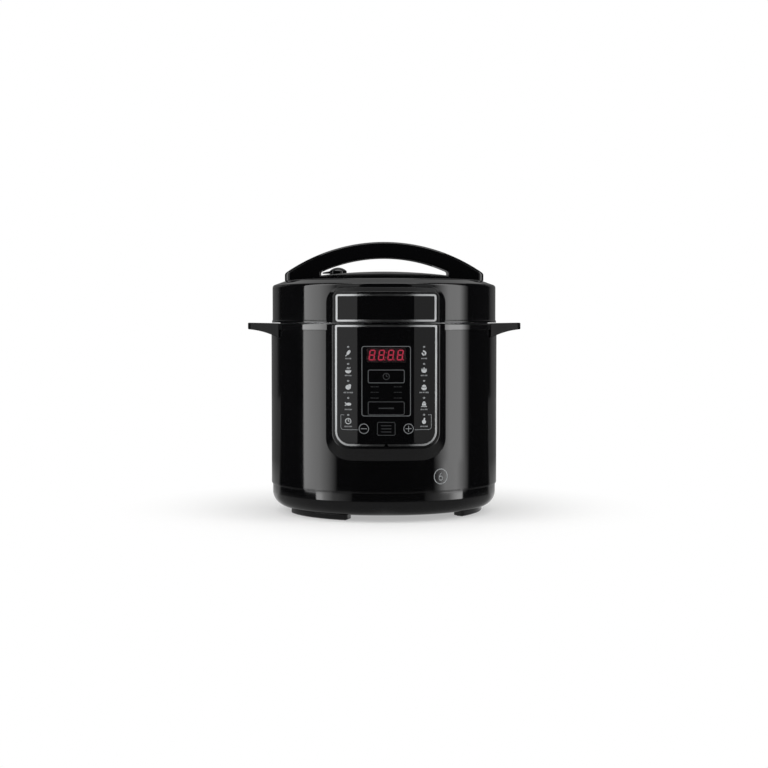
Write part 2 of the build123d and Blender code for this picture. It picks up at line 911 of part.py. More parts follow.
def vent_shield():
    """The slotted cap that keeps food out of the pipe."""
    low = lid_plate_under - shield_height
    cap = disc(shield_radius, low, lid_plate_under, valve_x, valve_y)
    cap = fillet(cap.edges().sort_by(Axis.Z)[:1], shield_round)
    inside = disc(shield_radius - shield_wall, low + shield_wall, lid_plate_under, valve_x, valve_y)
    cap -= fillet(inside.edges().sort_by(Axis.Z)[:1], shield_round - shield_wall)
    for angle in around(shield_slot_count):
        slot = Box(2 * shield_radius, shield_slot_width, shield_slot_height)
        cap -= Pos(valve_x, valve_y, lid_plate_under - shield_height / 2) * Rot(0, 0, angle / 2) * slot
    return cap


def valve_weight():
    """The pressure release knob: a domed cap over the pipe with a lever that thins to the side."""
    low = dome_height(hypot(valve_x, valve_y)) + weight_lift
    swell = weight_height - weight_rim
    ball = (weight_radius**2 + swell**2) / (2 * swell)
    knob = disc(weight_radius, 0, weight_height) & Pos(0, 0, weight_height - ball) * Sphere(ball)
    half = weight_lever_width / 2
    tip = -weight_lever_length
    view = Polyline(
        (0, weight_lift), (0, weight_lever_height), (tip, weight_lever_tip), (tip, weight_lift), close=True
    )
    lever = across(make_face(view), -half, half)
    lever = fillet(lever.edges().filter_by(Axis.Z).sort_by(Axis.X)[:2], weight_lever_corner)
    knob += lever
    knob -= disc(vent_pipe_radius + running_gap, 0, weight_height - weight_cap)
    return Pos(valve_x, valve_y, low) * knob


def float_pin():
    """The float valve's pin, shown down: a collar above the lid plate and a head below it."""
    seat = lid_plate_top + running_gap
    head = lid_plate_under - float_travel - float_head_height - running_gap
    tip = dome_height(hypot(float_x, float_y)) - float_recess
    pin = disc(float_radius, head, tip, float_x, float_y)
    pin += disc(float_head_radius, seat, seat + float_head_height, float_x, float_y)
    return pin + disc(float_head_radius, head - float_head_height, head, float_x, float_y)


def float_seal():
    """The soft washer that closes the hole when the pin is up."""
    low = lid_plate_under - float_travel - float_head_height - running_gap
    return tube(float_radius, float_head_radius, low, low + float_head_height, float_x, float_y)


# Control panel


def corner_form(half_width, slope, level, edge, end_slope, corner):
    """One half of a raised form: its flat side, its sloping end and the rounded corner between them.

    It is drawn at two depths, square to the wall where the corner begins. The corner opens out towards
    the wall, and it runs smoothly into the side and the end at every depth.
    """
    turn = asin((half_width - corner) / face_radius)
    out = Vector(sin(turn), -cos(turn), 0)
    along = Vector(cos(turn), sin(turn), 0)
    side = Vector(half_width, -sqrt(face_radius**2 - half_width**2), 0)
    back = Vector(slope, 1, 0)
    past_level = edge + copysign(4 * face_radius, level - edge)
    sections = []
    for depth in (0, face_radius + corner / 2):
        run = along.dot(side) + along.dot(back) / out.dot(back) * (depth - out.dot(side))
        end = edge + end_slope * (face_radius - depth)
        top = end + copysign(run, level - edge)
        far = -face_radius
        outline = TangentArc((0, end), (run, top), tangent=(1, 0))
        outline += Polyline((run, top), (run, past_level), (far, past_level), (far, end), (0, end))
        sections.append(Plane(out * depth, x_dir=along, z_dir=out) * make_face(outline))
    return loft(sections, ruled=True)


def raised_block(half_width, slope, inner, outer, level, edge, end_slope, corner):
    """A block on a round wall, between two radii: sloping sides, one level end and one sloping end."""
    inner_end = edge + end_slope * (face_radius - inner)
    outer_end = edge + end_slope * (face_radius - outer)
    block = turned((inner, level), (inner, inner_end), (outer, outer_end), (outer, level))
    form = corner_form(half_width, slope, level, edge, end_slope, corner)
    return block & form & mirror(form, Plane.YZ)


def soften_front(shape, radius):
    """Round the edges of the face at the front of a raised block."""
    front = shape.faces().filter_by(GeomType.CYLINDER).sort_by(Axis.Y)[0]
    return fillet(front.edges(), radius)


def frame_line(half_width, low, high, low_corner, high_corner):
    """A bright line: the outline of a plate, as wide as the trim."""
    inner = sheet(
        half_width - trim_line,
        low + trim_line,
        high - trim_line,
        max(low_corner - trim_line, trim_line / 2),
        max(high_corner - trim_line, trim_line / 2),
    )
    return sheet(half_width, low, high, low_corner, high_corner) - inner


def panel_outline(grow=0.0):
    """The outside of the panel's trim, let out by a gap."""
    return sheet(trim_half_width + grow, trim_z - grow, trim_top + grow, trim_corner + grow, trim_top_corner)


def panel_inside(inset):
    """The panel inside its trim, drawn in by an inset."""
    step = trim_line + inset
    corner = max(trim_corner - step, trim_line)
    return sheet(trim_half_width - step, trim_z + step, trim_top - step, corner, trim_top_corner)


def board_post_places():
    heights = (board_z + board_post_inset, board_top - board_post_inset)
    return [(side * board_post_x, z) for side in both_sides for z in heights]


def panel_bezel():
    """The raised block on the body: sloping sides, an open front and posts for the board."""
    shape = raised_block(
        panel_half_width,
        panel_slope,
        body_radius,
        face_radius,
        panel_top,
        panel_z,
        -panel_bottom_slope / panel_proud,
        panel_corner,
    )
    shape = soften_front(shape, panel_edge) - disc(ring_radius, ring_z, panel_top)
    low = panel_z + 2 * panel_wall
    high = panel_top - panel_wall
    hollow = sheet(panel_half_width - panel_wall, low, high, panel_corner - panel_wall, trim_line)
    shape -= across(hollow, -ledge_back, 0) & disc(ledge_back, low, high)
    shape -= curved(panel_outline(hole_gap), fascia_back, face_radius)
    shape -= across(panel_inside(fascia_ledge), -face_radius, 0)
    within = disc(fascia_back, trim_z, trim_top)
    for x, z in board_post_places():
        shape += bar(board_post_radius, -fascia_back, -board_face, x, z) & within
        shape -= bar(board_screw_radius + key_gap / 2, -board_face - board_screw_length, -board_face, x, z)
    return shape


def panel_trim():
    """The bright line round the control panel."""
    line = frame_line(trim_half_width, trim_z, trim_top, trim_corner, trim_top_corner)
    return curved(line, fascia_back, face_radius + trim_proud)


def key_outlines():
    """Each key's outline at the front, and its angle from the front."""
    turn = degrees(asin(round_key_offset / face_radius))
    round_key = Pos(0, trim_top - low_row_drop) * Circle(round_key_radius)
    return {
        "key_upper": (panel(wide_key_width, wide_key_height, key_corner, upper_key_drop), 0.0),
        "key_lower": (panel(wide_key_width, wide_key_height, key_corner, lower_key_drop), 0.0),
        "key_start": (panel(start_key_width, start_key_height, key_corner, low_row_drop), 0.0),
        "key_minus": (round_key, -turn),
        "key_plus": (round_key, turn),
    }


def control_fascia():
    """The control face, with holes for the display and the keys."""
    face = curved(panel_inside(hole_gap), fascia_back, fascia_radius)
    face -= across(panel(lens_width, lens_height, key_corner, lens_drop), -face_radius, 0)
    for outline, angle in key_outlines().values():
        face -= Rot(0, 0, angle) * across(outline, -face_radius, 0)
    return face


def display_lens():
    """The window over the digits."""
    outline = panel(lens_width - hole_gap, lens_height - hole_gap, key_corner, lens_drop)
    return curved(outline, fascia_back, fascia_radius)


def switch_place(angle):
    """How far to the side a key's axis meets the board."""
    return board_face * tan(radians(angle))


def key(outline, angle):
    """One key: a curved cap with a stem that reaches its switch."""
    cap = curved(offset(outline, -key_gap), fascia_back, fascia_radius)
    tilt = key_stem_radius * tan(radians(abs(angle)))
    tip = (board_face + switch_height + key_travel + hole_gap) / cos(radians(angle)) + tilt
    stem = bar(key_stem_radius, -fascia_back - fascia_thickness / 2, -tip, 0, outline.center().Y)
    return Rot(0, 0, angle) * (cap + stem)


def key_switches():
    """One push switch on the board behind each key."""
    switches = []
    for outline, angle in key_outlines().values():
        place = Pos(switch_place(angle), outline.center().Y)
        switch = place * Rectangle(switch_size, switch_size)
        switches.append(across(switch, -board_face - switch_height, -board_face))
    return switches


def display_board():
    """The circuit board behind the panel."""
    back = -board_face + board_thickness
    board = brick(-board_half_width, board_half_width, -board_face, back, board_z, board_top)
    for x, z in board_post_places():
        board -= bar(board_screw_radius + key_gap / 2, -board_face, back, x, z)
    return board


def led_display():
    """The digit module on the board."""
    return across(panel(lens_width, lens_height, key_corner, lens_drop), -board_face - led_depth, -board_face)


def board_screws():
    """Screws from behind that hold the board to the bezel."""
    back = -board_face + board_thickness
    screws = []
    for x, z in board_post_places():
        shank = bar(board_screw_radius, -board_face - board_screw_length, back, x, z)
        screws.append(shank + bar(board_screw_head, back, back + board_screw_head_height, x, z))
    return screws


def lid_block():
    """The upper part of the panel, carried by the lid."""
    end_slope = block_top_slope / (face_radius - lid_radius)
    shape = raised_block(
        block_half_width, block_slope, lid_radius, face_radius, lid_z, block_top, end_slope, block_corner
    )
    shape = soften_front(shape, block_edge) - lid_outside()
    shape -= raised_block(
        block_half_width - panel_wall,
        block_slope,
        lid_radius - panel_wall,
        ledge_back,
        lid_z + panel_wall,
        block_top - panel_wall,
        end_slope,
        block_corner,
    )
    return shape - curved(plate_outline(hole_gap), fascia_back, face_radius)


def plate_outline(grow):
    """The outside of the lid plate's trim, let out by a gap."""
    corner = plate_trim_corner + grow
    return sheet(plate_trim_half_width + grow, plate_trim_z - grow, plate_trim_top + grow, corner, corner)


def plate_trim():
    """The bright line round the bare plate on the lid."""
    corner = plate_trim_corner
    line = frame_line(plate_trim_half_width, plate_trim_z, plate_trim_top, corner, corner)
    return curved(line, fascia_back, face_radius + trim_proud)


def name_plate():
    """The bare plate on the lid block."""
    step = trim_line + hole_gap
    corner = max(plate_trim_corner - step, trim_line / 2)
    outline = sheet(plate_trim_half_width - step, plate_trim_z + step, plate_trim_top - step, corner, corner)
    return curved(outline, fascia_back, fascia_radius)


# Heating plate, sensor and electrics


def element_ring():
    """The tube of the heating element, open at the back."""
    section = Plane.XZ * (Pos(element_radius, plate_z) * Circle(element_tube_radius))
    return Rot(0, 0, 90 + element_gap_angle / 2) * revolve(section, Axis.Z, 360 - element_gap_angle)


def terminal_places():
    half = element_gap_angle / 2 + degrees(terminal_radius / element_radius)
    return [polar(element_radius, 180 + side * half) for side in both_sides]


def heating_element():
    """The cast-in tube with its two terminals."""
    element = element_ring()
    for x, y in terminal_places():
        element += disc(terminal_radius, plate_z - terminal_drop, plate_z, x, y)
    return element


def heating_plate():
    """The cast plate under the pot, standing on a ring."""
    plate = disc(plate_radius, plate_z, plate_top)
    plate += tube(stand_ring_radius - stand_ring_width, stand_ring_radius, pot_seat_top, plate_z)
    return plate - disc(plate_hole_radius, plate_z, plate_top) - element_ring()


def sensor_cup():
    """The cup under the pot's floor that guides the sensor."""
    radius = sensor_cup_bore + sensor_cup_wall
    cup = disc(radius, sensor_cup_z, pot_seat)
    cup += disc(radius + sensor_cup_flange, pot_seat - sensor_cup_wall, pot_seat)
    return cup - disc(sensor_cup_bore, sensor_cup_z + sensor_cup_wall, pot_seat)


def sensor_cap():
    """The sprung cap that feels the pot's floor."""
    flange_z = sensor_cup_z + sensor_cup_wall + sensor_travel + running_gap
    cap = disc(sensor_radius, flange_z, plate_top)
    cap += disc(sensor_radius + sensor_flange, flange_z, flange_z + sensor_flange_height)
    return cap - disc(sensor_radius - sensor_wall, flange_z, plate_top - sensor_top)


def sensor_spring():
    """The coil spring under the sensor, from the cup's floor to the cap."""
    radius = sensor_radius - sensor_wall - spring_clearance - spring_wire_radius
    low = sensor_cup_z + sensor_cup_wall + spring_wire_radius
    high = plate_top - sensor_top - spring_wire_radius
    pitch = (high - low) / spring_turns

    def on_coil(turn):
        x, y = polar(radius, 360 * turn)
        return Vector(x, y, low + pitch * turn)

    quarters = [step / 4 for step in range(4 * spring_turns)]
    coil = Wire([ThreePointArc(on_coil(q), on_coil(q + 1 / 8), on_coil(q + 1 / 4)).edge() for q in quarters])
    section = Plane(coil @ 0, z_dir=coil % 0) * Circle(spring_wire_radius)
    return sweep(section, coil)


def power_board():
    """The circuit board under the pot."""
    half_x = power_board_length / 2
    half_y = power_board_width / 2
    board = brick(-half_x, half_x, -half_y, half_y, power_board_z, power_board_top)
    for x, y in power_board_corners():
        board -= disc(screw_radius + hole_gap, power_board_z, power_board_top, x, y)
    return board


def power_board_screws():
    """Screws that hold the power board to its stands."""
    return [screw(x, y, power_board_top, power_board_z - screw_bite) for x, y in power_board_corners()]


def component(length, width, offset_x):
    """A block standing on the power board."""
    top = power_board_top + component_height
    return brick(offset_x - length / 2, offset_x + length / 2, -width / 2, width / 2, power_board_top, top)


def pressure_switch():
    """The switch that feels the outer pot's floor move down."""
    place = Rot(0, 0, pressure_switch_angle) * Pos(0, -pressure_switch_radius, pot_seat)
    hung = (Align.CENTER, Align.CENTER, Align.MAX)
    return place * Box(pressure_switch_length, pressure_switch_width, pressure_switch_height, align=hung)


def thermal_fuse():
    """The fuse in its clip, under the pot's floor."""
    place = Rot(0, 0, fuse_angle) * Pos(0, -fuse_place_radius, pot_seat - fuse_radius - fuse_clip_wall)
    side = 2 * (fuse_radius + fuse_clip_wall)
    body = Rot(0, 90, 0) * Cylinder(fuse_radius, fuse_length)
    return place * (body + Box(fuse_clip_length, side, side))


# Back of the body


def inlet_core(grow):
    """The socket's body, let out by a gap, where it passes through the sleeve."""
    outline = Pos(0, inlet_z) * Rectangle(inlet_body_width + 2 * grow, inlet_body_height + 2 * grow)
    return across(outline, inlet_face - inlet_body_depth, inlet_face)


def power_inlet():
    """The power socket: a flange on the sleeve and a chamfered recess."""
    flange = Pos(0, inlet_z) * RectangleRounded(inlet_flange_width, inlet_flange_height, inlet_flange_corner)
    solid = across(flange, 0, inlet_face) - disc(body_radius, 0, ring_z)
    solid += inlet_core(0)
    mouth = Pos(0, inlet_z) * Rectangle(inlet_socket_width, inlet_socket_height)
    mouth = chamfer(mouth.vertices().sort_by(Axis.Y)[-2:], inlet_socket_chamfer)
    return solid - across(mouth, inlet_face - inlet_socket_depth, inlet_face)


def inlet_pins():
    """The three blades in the socket."""
    back = inlet_face - inlet_socket_depth
    low = inlet_z - inlet_pin_drop
    places = [(side * inlet_pin_spacing, low) for side in both_sides] + [(0, low + inlet_earth_rise)]
    blade = Rectangle(inlet_pin_width, inlet_pin_height)
    return [across(Pos(x, z) * blade, back, back + inlet_pin_length) for x, z in places]


def bent_back(outline, inner, outer):
    """A plate bent round the back of the body."""
    low = outline.bounding_box().min.Y
    high = outline.bounding_box().max.Y
    return across(outline, 0, outer) & tube(inner, outer, low, high)


def cup_holder():
    """The plate on the sleeve with a drain spout above and two rails for the cup."""
    plate = sheet(holder_half_width, cup_z, ring_z, holder_corner, holder_corner)
    holder = bent_back(plate, body_radius, body_radius + holder_plate)
    lip = sheet(cup_half_width, spout_z, ring_z, spout_corner, spout_corner)
    spout = bent_back(lip, body_radius, cup_radius)
    bore_y = (cup_back + cup_radius) / 2
    holder += spout - disc(spout_bore, spout_z, ring_z, 0, bore_y)
    rib_top = cup_rib_z + cup_rib_height
    front = body_radius + holder_plate
    for side in both_sides:
        outer = side * holder_half_width
        inner = side * (cup_half_width + slide_gap)
        wall = side * (holder_half_width - rail_wall)
        x0, x1 = sorted((inner, outer))
        w0, w1 = sorted((wall, outer))
        low = cup_rib_z - slide_gap - rail_thickness
        high = rib_top + slide_gap + rail_thickness
        rail = brick(x0, x1, 0, front + rail_depth, low, low + rail_thickness)
        rail += brick(x0, x1, 0, front + rail_depth, high - rail_thickness, high)
        rail += brick(w0, w1, 0, front + rail_depth, low, high)
        holder += rail & tube(body_radius + holder_plate / 2, cup_radius, low, high)
    return holder


def condensate_cup():
    """The clear cup that collects drips, with a rib on each side."""
    outside = sheet(cup_half_width, cup_z, cup_top, cup_corner, cup_wall)
    inside = sheet(cup_half_width - cup_wall, cup_z + cup_wall, cup_top, cup_corner - cup_wall, cup_wall / 2)
    cup = bent_back(outside, cup_back, cup_radius)
    cup -= bent_back(inside, cup_back + cup_wall, cup_radius - cup_wall)
    for side in both_sides:
        x0, x1 = sorted((side * (cup_half_width - cup_wall / 2), side * (cup_half_width + cup_rib_reach)))
        rib = brick(x0, x1, 0, cup_radius, cup_rib_z, cup_rib_z + cup_rib_height)
        cup += rib & tube(cup_back, cup_radius, cup_rib_z, cup_rib_z + cup_rib_height)
    return cup


def nodes():
    """Every node's shape by name."""
    made = {
        "inner_pot": inner_pot(),
        "outer_pot": outer_pot(),
        "flange_bolts": flange_bolts(),
        "base_shell": base_shell(),
        "bottom_cover": bottom_cover(),
        "cover_screws": cover_screws(),
        "foot_pads": foot_pads(),
        "body_sleeve": body_sleeve(),
        "top_ring": top_ring(),
        "side_handle_left": side_handle(-1),
        "side_handle_right": side_handle(1),
        "lid_cover": lid_cover(),
        "lid_dome": lid_dome(),
        "lid_plate": lid_plate(),
        "lid_screws": lid_screws(),
        "sealing_ring": sealing_ring(),
        "seal_carrier": seal_carrier(),
        "lid_handle": lid_handle(),
        "handle_grip": handle_grip(),
        "handle_screws": handle_screws(),
        "vent_pipe": vent_pipe(),
        "vent_shield": vent_shield(),
        "valve_weight": valve_weight(),
        "float_pin": float_pin(),
        "float_seal": float_seal(),
        "panel_bezel": panel_bezel(),
        "panel_trim": panel_trim(),
        "control_fascia": control_fascia(),
        "display_lens": display_lens(),
        "key_switches": key_switches(),
        "display_board": display_board(),
        "led_display": led_display(),
        "board_screws": board_screws(),
        "lid_block": lid_block(),
        "plate_trim": plate_trim(),
        "name_plate": name_plate(),
        "heating_element": heating_element(),
        "heating_plate": heating_plate(),
        "sensor_cup": sensor_cup(),
        "sensor_cap": sensor_cap(),
        "sensor_spring": sensor_spring(),
        "power_board": power_board(),
        "power_board_screws": power_board_screws(),
        "transformer": component(transformer_length, transformer_width, -component_offset),
        "relay": component(relay_length, relay_width, component_offset),
        "pressure_switch": pressure_switch(),
        "thermal_fuse": thermal_fuse(),
        "power_inlet": power_inlet(),
        "inlet_pins": inlet_pins(),
        "cup_holder": cup_holder(),
        "condensate_cup": condensate_cup(),
    }
    foot_places = around(len(foot_names), foot_angle)
    made.update({name: foot(angle) for name, angle in zip(foot_names, foot_places)})
    made.update({name: key(outline, angle) for name, (outline, angle) in key_outlines().items()})
    return made


def main():
    os.makedirs("parts", exist_ok=True)
    for name, shape in nodes().items():
        solids = Compound(children=shape) if isinstance(shape, list) else shape
        export_step(solids, f"parts/{name}.step")


if __name__ == "__main__":
    main()
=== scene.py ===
"""Dresses the pressure cooker: finishes for its solids, the printing on its panel and a plain studio.

Metres, +Z up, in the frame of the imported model. The control panel faces -Y.
"""

import math

import bmesh
import bpy
from bpy.props import FloatProperty, FloatVectorProperty, PointerProperty
from mathutils import Matrix, Vector


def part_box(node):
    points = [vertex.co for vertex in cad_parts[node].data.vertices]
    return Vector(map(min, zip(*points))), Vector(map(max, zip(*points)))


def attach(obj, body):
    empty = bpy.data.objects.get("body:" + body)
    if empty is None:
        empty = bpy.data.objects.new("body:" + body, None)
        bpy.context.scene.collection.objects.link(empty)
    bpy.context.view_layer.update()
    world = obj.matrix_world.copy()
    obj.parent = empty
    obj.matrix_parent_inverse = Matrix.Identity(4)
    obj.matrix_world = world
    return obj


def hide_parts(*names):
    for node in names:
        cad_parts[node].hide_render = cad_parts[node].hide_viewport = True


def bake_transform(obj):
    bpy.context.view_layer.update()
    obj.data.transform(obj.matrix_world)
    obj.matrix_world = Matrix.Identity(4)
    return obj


bl_info = {
    "name": "Pressure cooker dressing",
    "version": (1, 0, 0),
    "blender": (4, 5, 0),
    "location": "View3D > Sidebar > Cooker",
    "description": "Finishes, panel printing and studio for the packed pressure cooker",
    "category": "Object",
}

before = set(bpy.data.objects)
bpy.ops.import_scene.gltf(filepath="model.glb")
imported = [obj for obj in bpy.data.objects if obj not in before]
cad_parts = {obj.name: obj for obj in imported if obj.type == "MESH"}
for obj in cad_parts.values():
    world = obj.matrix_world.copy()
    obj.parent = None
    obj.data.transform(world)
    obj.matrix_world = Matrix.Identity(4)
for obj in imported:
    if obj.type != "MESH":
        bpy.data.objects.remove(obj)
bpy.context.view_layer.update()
MM = 0.001

# Settings


def linear(code):
    """Linear colour of an sRGB hex value."""
    parts = [int(code[i : i + 2], 16) / 255 for i in (1, 3, 5)]
    return tuple(p / 12.92 if p <= 0.04045 else ((p + 0.055) / 1.055) ** 2.4 for p in parts)


def length(name, millimetres, words):
    """A length that a user may change."""
    return FloatProperty(name=name, description=words, default=millimetres * MM, unit="LENGTH", precision=4)


def angle(name, degrees, words):
    """An angle that a user may change."""
    return FloatProperty(name=name, description=words, default=math.radians(degrees), subtype="ANGLE")


def colour(name, code, words):
    """A colour that a user may change."""
    value = linear(code)
    return FloatVectorProperty(name=name, description=words, default=value, subtype="COLOR", min=0, max=1)


class CookerColours(bpy.types.PropertyGroup):
    """Colours of the finishes."""

    gloss: colour("Gloss black", "#060607", "Polished mouldings and side handles")
    enamel: colour("Enamel", "#050506", "Enamel of the body sleeve")
    satin: colour("Satin black", "#131314", "Handle grip, bottom cover and rear fittings")
    acrylic: colour("Panel black", "#060607", "Black behind the panel's clear face")
    lamp: colour("Display red", "#FF577C", "Lit segments")
    chrome: colour("Chrome", "#EBEDEE", "Bright lines round panel and plate")
    steel: colour("Stainless steel", "#C6C8C9", "Lid plate, valve parts and screws")
    spun: colour("Spun steel", "#C9CACB", "Outer pot")
    aluminium: colour("Aluminium", "#C9CACB", "Inner pot and heating plate")
    coating: colour("Non-stick coating", "#2A2B2D", "Inside of the pot")
    silicone: colour("Silicone", "#D5D5CF", "Sealing ring")
    rubber: colour("Rubber", "#171717", "Foot pads and switches")
    board: colour("Circuit board", "#1D5A34", "Boards inside the housing")
    plated: colour("Plated brass", "#C9A960", "Contacts")
    smoke: colour("Smoked window", "#9A7A7E", "Display window")
    clear: colour("Clear cup", "#B9C0C4", "Condensate cup")


class CookerPrint(bpy.types.PropertyGroup):
    """Sizes of the printing on the panel and on the body."""

    ink_height: length("Ink height", 0.06, "How far the ink stands on its face")
    column: length("Column", 44.2, "From the panel's middle to each column of lights")
    first_light: length("First light", 25.5, "Down from the trim's top to the first light")
    light_pitch: length("Light pitch", 19.8, "Between lights in a column")
    light_radius: length("Light radius", 1.35, "Radius of a light")
    icon_drop: length("Icon drop", 7.3, "Down from a light to its symbol")
    icon_size: length("Icon size", 3.9, "Half the width of a symbol")
    label_drop: length("Label drop", 13.5, "Down from a light to its label bars")
    label_height: length("Label height", 1.5, "Height of a label bar")
    label_width: length("Label width", 11.0, "Width of the longest label")
    frame_half: length("Frame half width", 28.7, "Half the width of the line round the display")
    frame_low: length("Frame foot", 106.2, "Down from the trim's top to the foot of that line")
    frame_high: length("Frame head", 24.4, "Down from the trim's top to the head of that line")
    frame_line: length("Frame line", 0.95, "Width of that line")
    frame_corner: length("Frame corner", 3.0, "Corner radius of that line")
    link_line: length("Link line", 0.665, "Width of the lines from the last symbols to the round keys")
    link_drop: length("Link drop", 17.2, "Down from the last light to the foot of those lines")
    link_reach: length("Link reach", 8.6, "From a column of lights out to those lines")
    link_bend: length("Link bend", 3.0, "Bend radius of those lines")
    link_hook: length("Link hook", 4.0, "Length of those lines at their head")
    link_gap: length("Link gap", 0.8, "From a round key to the end of its line")
    hint_column: length("Hint column", 13.5, "From the panel's middle to the bars between the wide keys")
    hint_width: length("Hint width", 9.5, "Width of those bars")
    hint_height: length("Hint height", 1.2, "Height of those bars")
    key_line: length("Key line", 0.8, "Width of the lines on the keys")
    key_corner: length("Key corner", 2.2, "Corner radius of those lines")
    clock_size: length("Clock size", 4.5, "Half the width of the upper key's clock")
    bar_half: length("Bar half", 9.0, "Half the length of the lower key's bar")
    bar_height: length("Bar height", 1.4, "Height of that bar")
    row_half: length("Row half", 6.0, "Half the length of the start key's rows")
    row_pitch: length("Row pitch", 3.6, "Between those rows")
    row_height: length("Row height", 1.0, "Height of a row")
    digit_height: length("Digit height", 12.4, "Height of the display's digits")
    digit_width: length("Digit width", 7.0, "Width of a digit")
    digit_pitch: length("Digit pitch", 10.9, "Between the display's digits")
    segment: length("Segment", 1.3, "Width of a lit segment")
    digit_lean: angle("Digit lean", 8.0, "Slant of the digits")
    badge_angle: angle("Badge angle", 27.4, "Place of the capacity mark, from the front")
    badge_height: length("Badge height", 53.7, "Height of the capacity mark")
    badge_ring: length("Badge ring", 8.8, "Radius of the capacity mark's ring")
    badge_line: length("Badge line", 1.1, "Width of that ring")
    figure_bowl: length("Figure bowl", 2.444, "Radius of the bowl of the mark's figure")
    figure_drop: length("Figure drop", 2.068, "Down from the ring's middle to that bowl")
    figure_line: length("Figure line", 0.9, "Width of the figure's line")


class CookerStudio(bpy.types.PropertyGroup):
    """Camera and studio."""

    camera_height: length("Camera height", 234.5, "Height of the camera")
    camera_distance: length("Camera distance", 1932.0, "From the cooker's axis to the camera")
    camera_angle: angle("Camera angle", -1.0, "Place of the camera from the front")
    camera_pitch: angle("Camera pitch", 2.27, "How far the camera looks down")
    lens: FloatProperty(name="Lens", description="Focal length in millimetres", default=72.05)
    floor: colour("Floor", "#F6F6F5", "Plain pale floor")


# Node helpers


def add(tree, kind, inputs=None, **settings):
    """Add a node with its settings; each input is a value or an output socket to link."""
    node = tree.nodes.new(kind)
    for key, value in settings.items():
        setattr(node, key, value)
    for key, value in (inputs or {}).items():
        if isinstance(value, bpy.types.NodeSocket):
            tree.links.new(value, node.inputs[key])
        else:
            node.inputs[key].default_value = value
    return node


def rgba(value):
    """A colour with full alpha."""
    return (*value, 1.0)


def per(millimetres):
    """Pattern scale whose features are this far apart."""
    return 1 / (millimetres * MM)


def new_finish(name):
    """An empty material, its tree and the object's own coordinates."""
    material = bpy.data.materials.new(name)
    material.use_nodes = True
    tree = material.node_tree
    tree.nodes.clear()
    place = add(tree, "ShaderNodeTexCoord").outputs["Object"]
    return material, tree, place


def close(tree, **inputs):
    """The shader and the output that end a material."""
    named = {key.replace("_", " "): value for key, value in inputs.items()}
    shader = add(tree, "ShaderNodeBsdfPrincipled", named)
    add(tree, "ShaderNodeOutputMaterial", {"Surface": shader.outputs["BSDF"]})


def colours():
    """The colours in use."""
    return bpy.context.scene.cooker_colours


def span(value, first, last, low=0.0, high=1.0):
    """Inputs that map a value from one range to another."""
    return {"Value": value, "From Min": first, "From Max": last, "To Min": low, "To Max": high}


def speckle(tree, place, size, low, high):
    """Soft noise with features of a size in millimetres, mapped to a range."""
    noise = add(tree, "ShaderNodeTexNoise", {"Vector": place, "Scale": per(size), "Detail": 2.0})
    return add(tree, "ShaderNodeMapRange", span(noise.outputs["Fac"], 0.3, 0.7, low, high)).outputs["Result"]


def grain(tree, place, size, depth, detail=2.0, edge=0.0):
    """A bumped normal: noise of a size and a depth in millimetres, on edges broken to a radius."""
    noise = add(tree, "ShaderNodeTexNoise", {"Vector": place, "Scale": per(size), "Detail": detail})
    bump = {"Height": noise.outputs["Fac"], "Strength": 1.0, "Distance": depth * MM}
    if edge:
        bump["Normal"] = add(tree, "ShaderNodeBevel", {"Radius": edge * MM}, samples=6).outputs["Normal"]
    return add(tree, "ShaderNodeBump", bump).outputs["Normal"]


def axis_reach(tree, place):
    """Distance from the Z axis, and height."""
    split = add(tree, "ShaderNodeSeparateXYZ", {"Vector": place})
    level = add(tree, "ShaderNodeCombineXYZ", {"X": split.outputs["X"], "Y": split.outputs["Y"]})
    reach = add(tree, "ShaderNodeVectorMath", {0: level.outputs["Vector"]}, operation="LENGTH")
    return reach.outputs["Value"], split.outputs["Z"]


def turned(tree, place, spacing, low, high, strength, depth):
    """Roughness and normal with rings round the Z axis, as a lathe or a brush leaves them."""
    reach, height = axis_reach(tree, place)
    around = add(tree, "ShaderNodeCombineXYZ", {"X": reach, "Y": height})
    noise = {"Vector": around.outputs["Vector"], "Scale": per(spacing), "Detail": 3.0}
    rings = add(tree, "ShaderNodeTexNoise", noise).outputs["Fac"]
    roughness = add(tree, "ShaderNodeMapRange", span(rings, 0.0, 1.0, low, high))
    bump = add(tree, "ShaderNodeBump", {"Height": rings, "Strength": strength, "Distance": depth * MM})
    return {"Roughness": roughness.outputs["Result"], "Normal": bump.outputs["Normal"]}


# Finishes

# Gloss and texture of a polished surface
POLISHED = ((45, 0.045, 0.085), (14, 0.004, 2.0, 0.7))


def plain(name, tint, gloss, texture=(), **more):
    """A finish of one colour, with gloss as speckle takes it and a texture as grain takes it."""
    material, tree, place = new_finish(name)
    more["Roughness"] = speckle(tree, place, *gloss)
    if texture:
        more["Normal"] = grain(tree, place, *texture)
    close(tree, Base_Color=rgba(tint), **more)
    return material


def gloss_abs():
    """ABS from a polished mould: deep black, sharp reflections, gloss a little uneven from handling."""
    return plain("gloss_abs", colours().gloss, *POLISHED, IOR=1.53)


def black_lacquer():
    """Polished lacquer in several coats: a shade brighter in its reflections than the plain mouldings."""
    return plain("black_lacquer", colours().gloss, *POLISHED, IOR=1.85)


def enamelled_steel():
    """Black enamel on sheet steel: glossy, with a sprayed coat's faint orange peel, about 3 mm across."""
    return plain("enamelled_steel", colours().enamel, (60, 0.05, 0.09), (3, 0.0012, 2.0, 0.7), IOR=1.53)


def satin_polypropylene():
    """Polypropylene from a spark-eroded mould: fine 0.6 mm texture that breaks up reflections."""
    texture = (0.6, 0.02, 3.0)
    return plain("satin_polypropylene", colours().satin, (20, 0.36, 0.46), texture, Specular_IOR_Level=0.25)


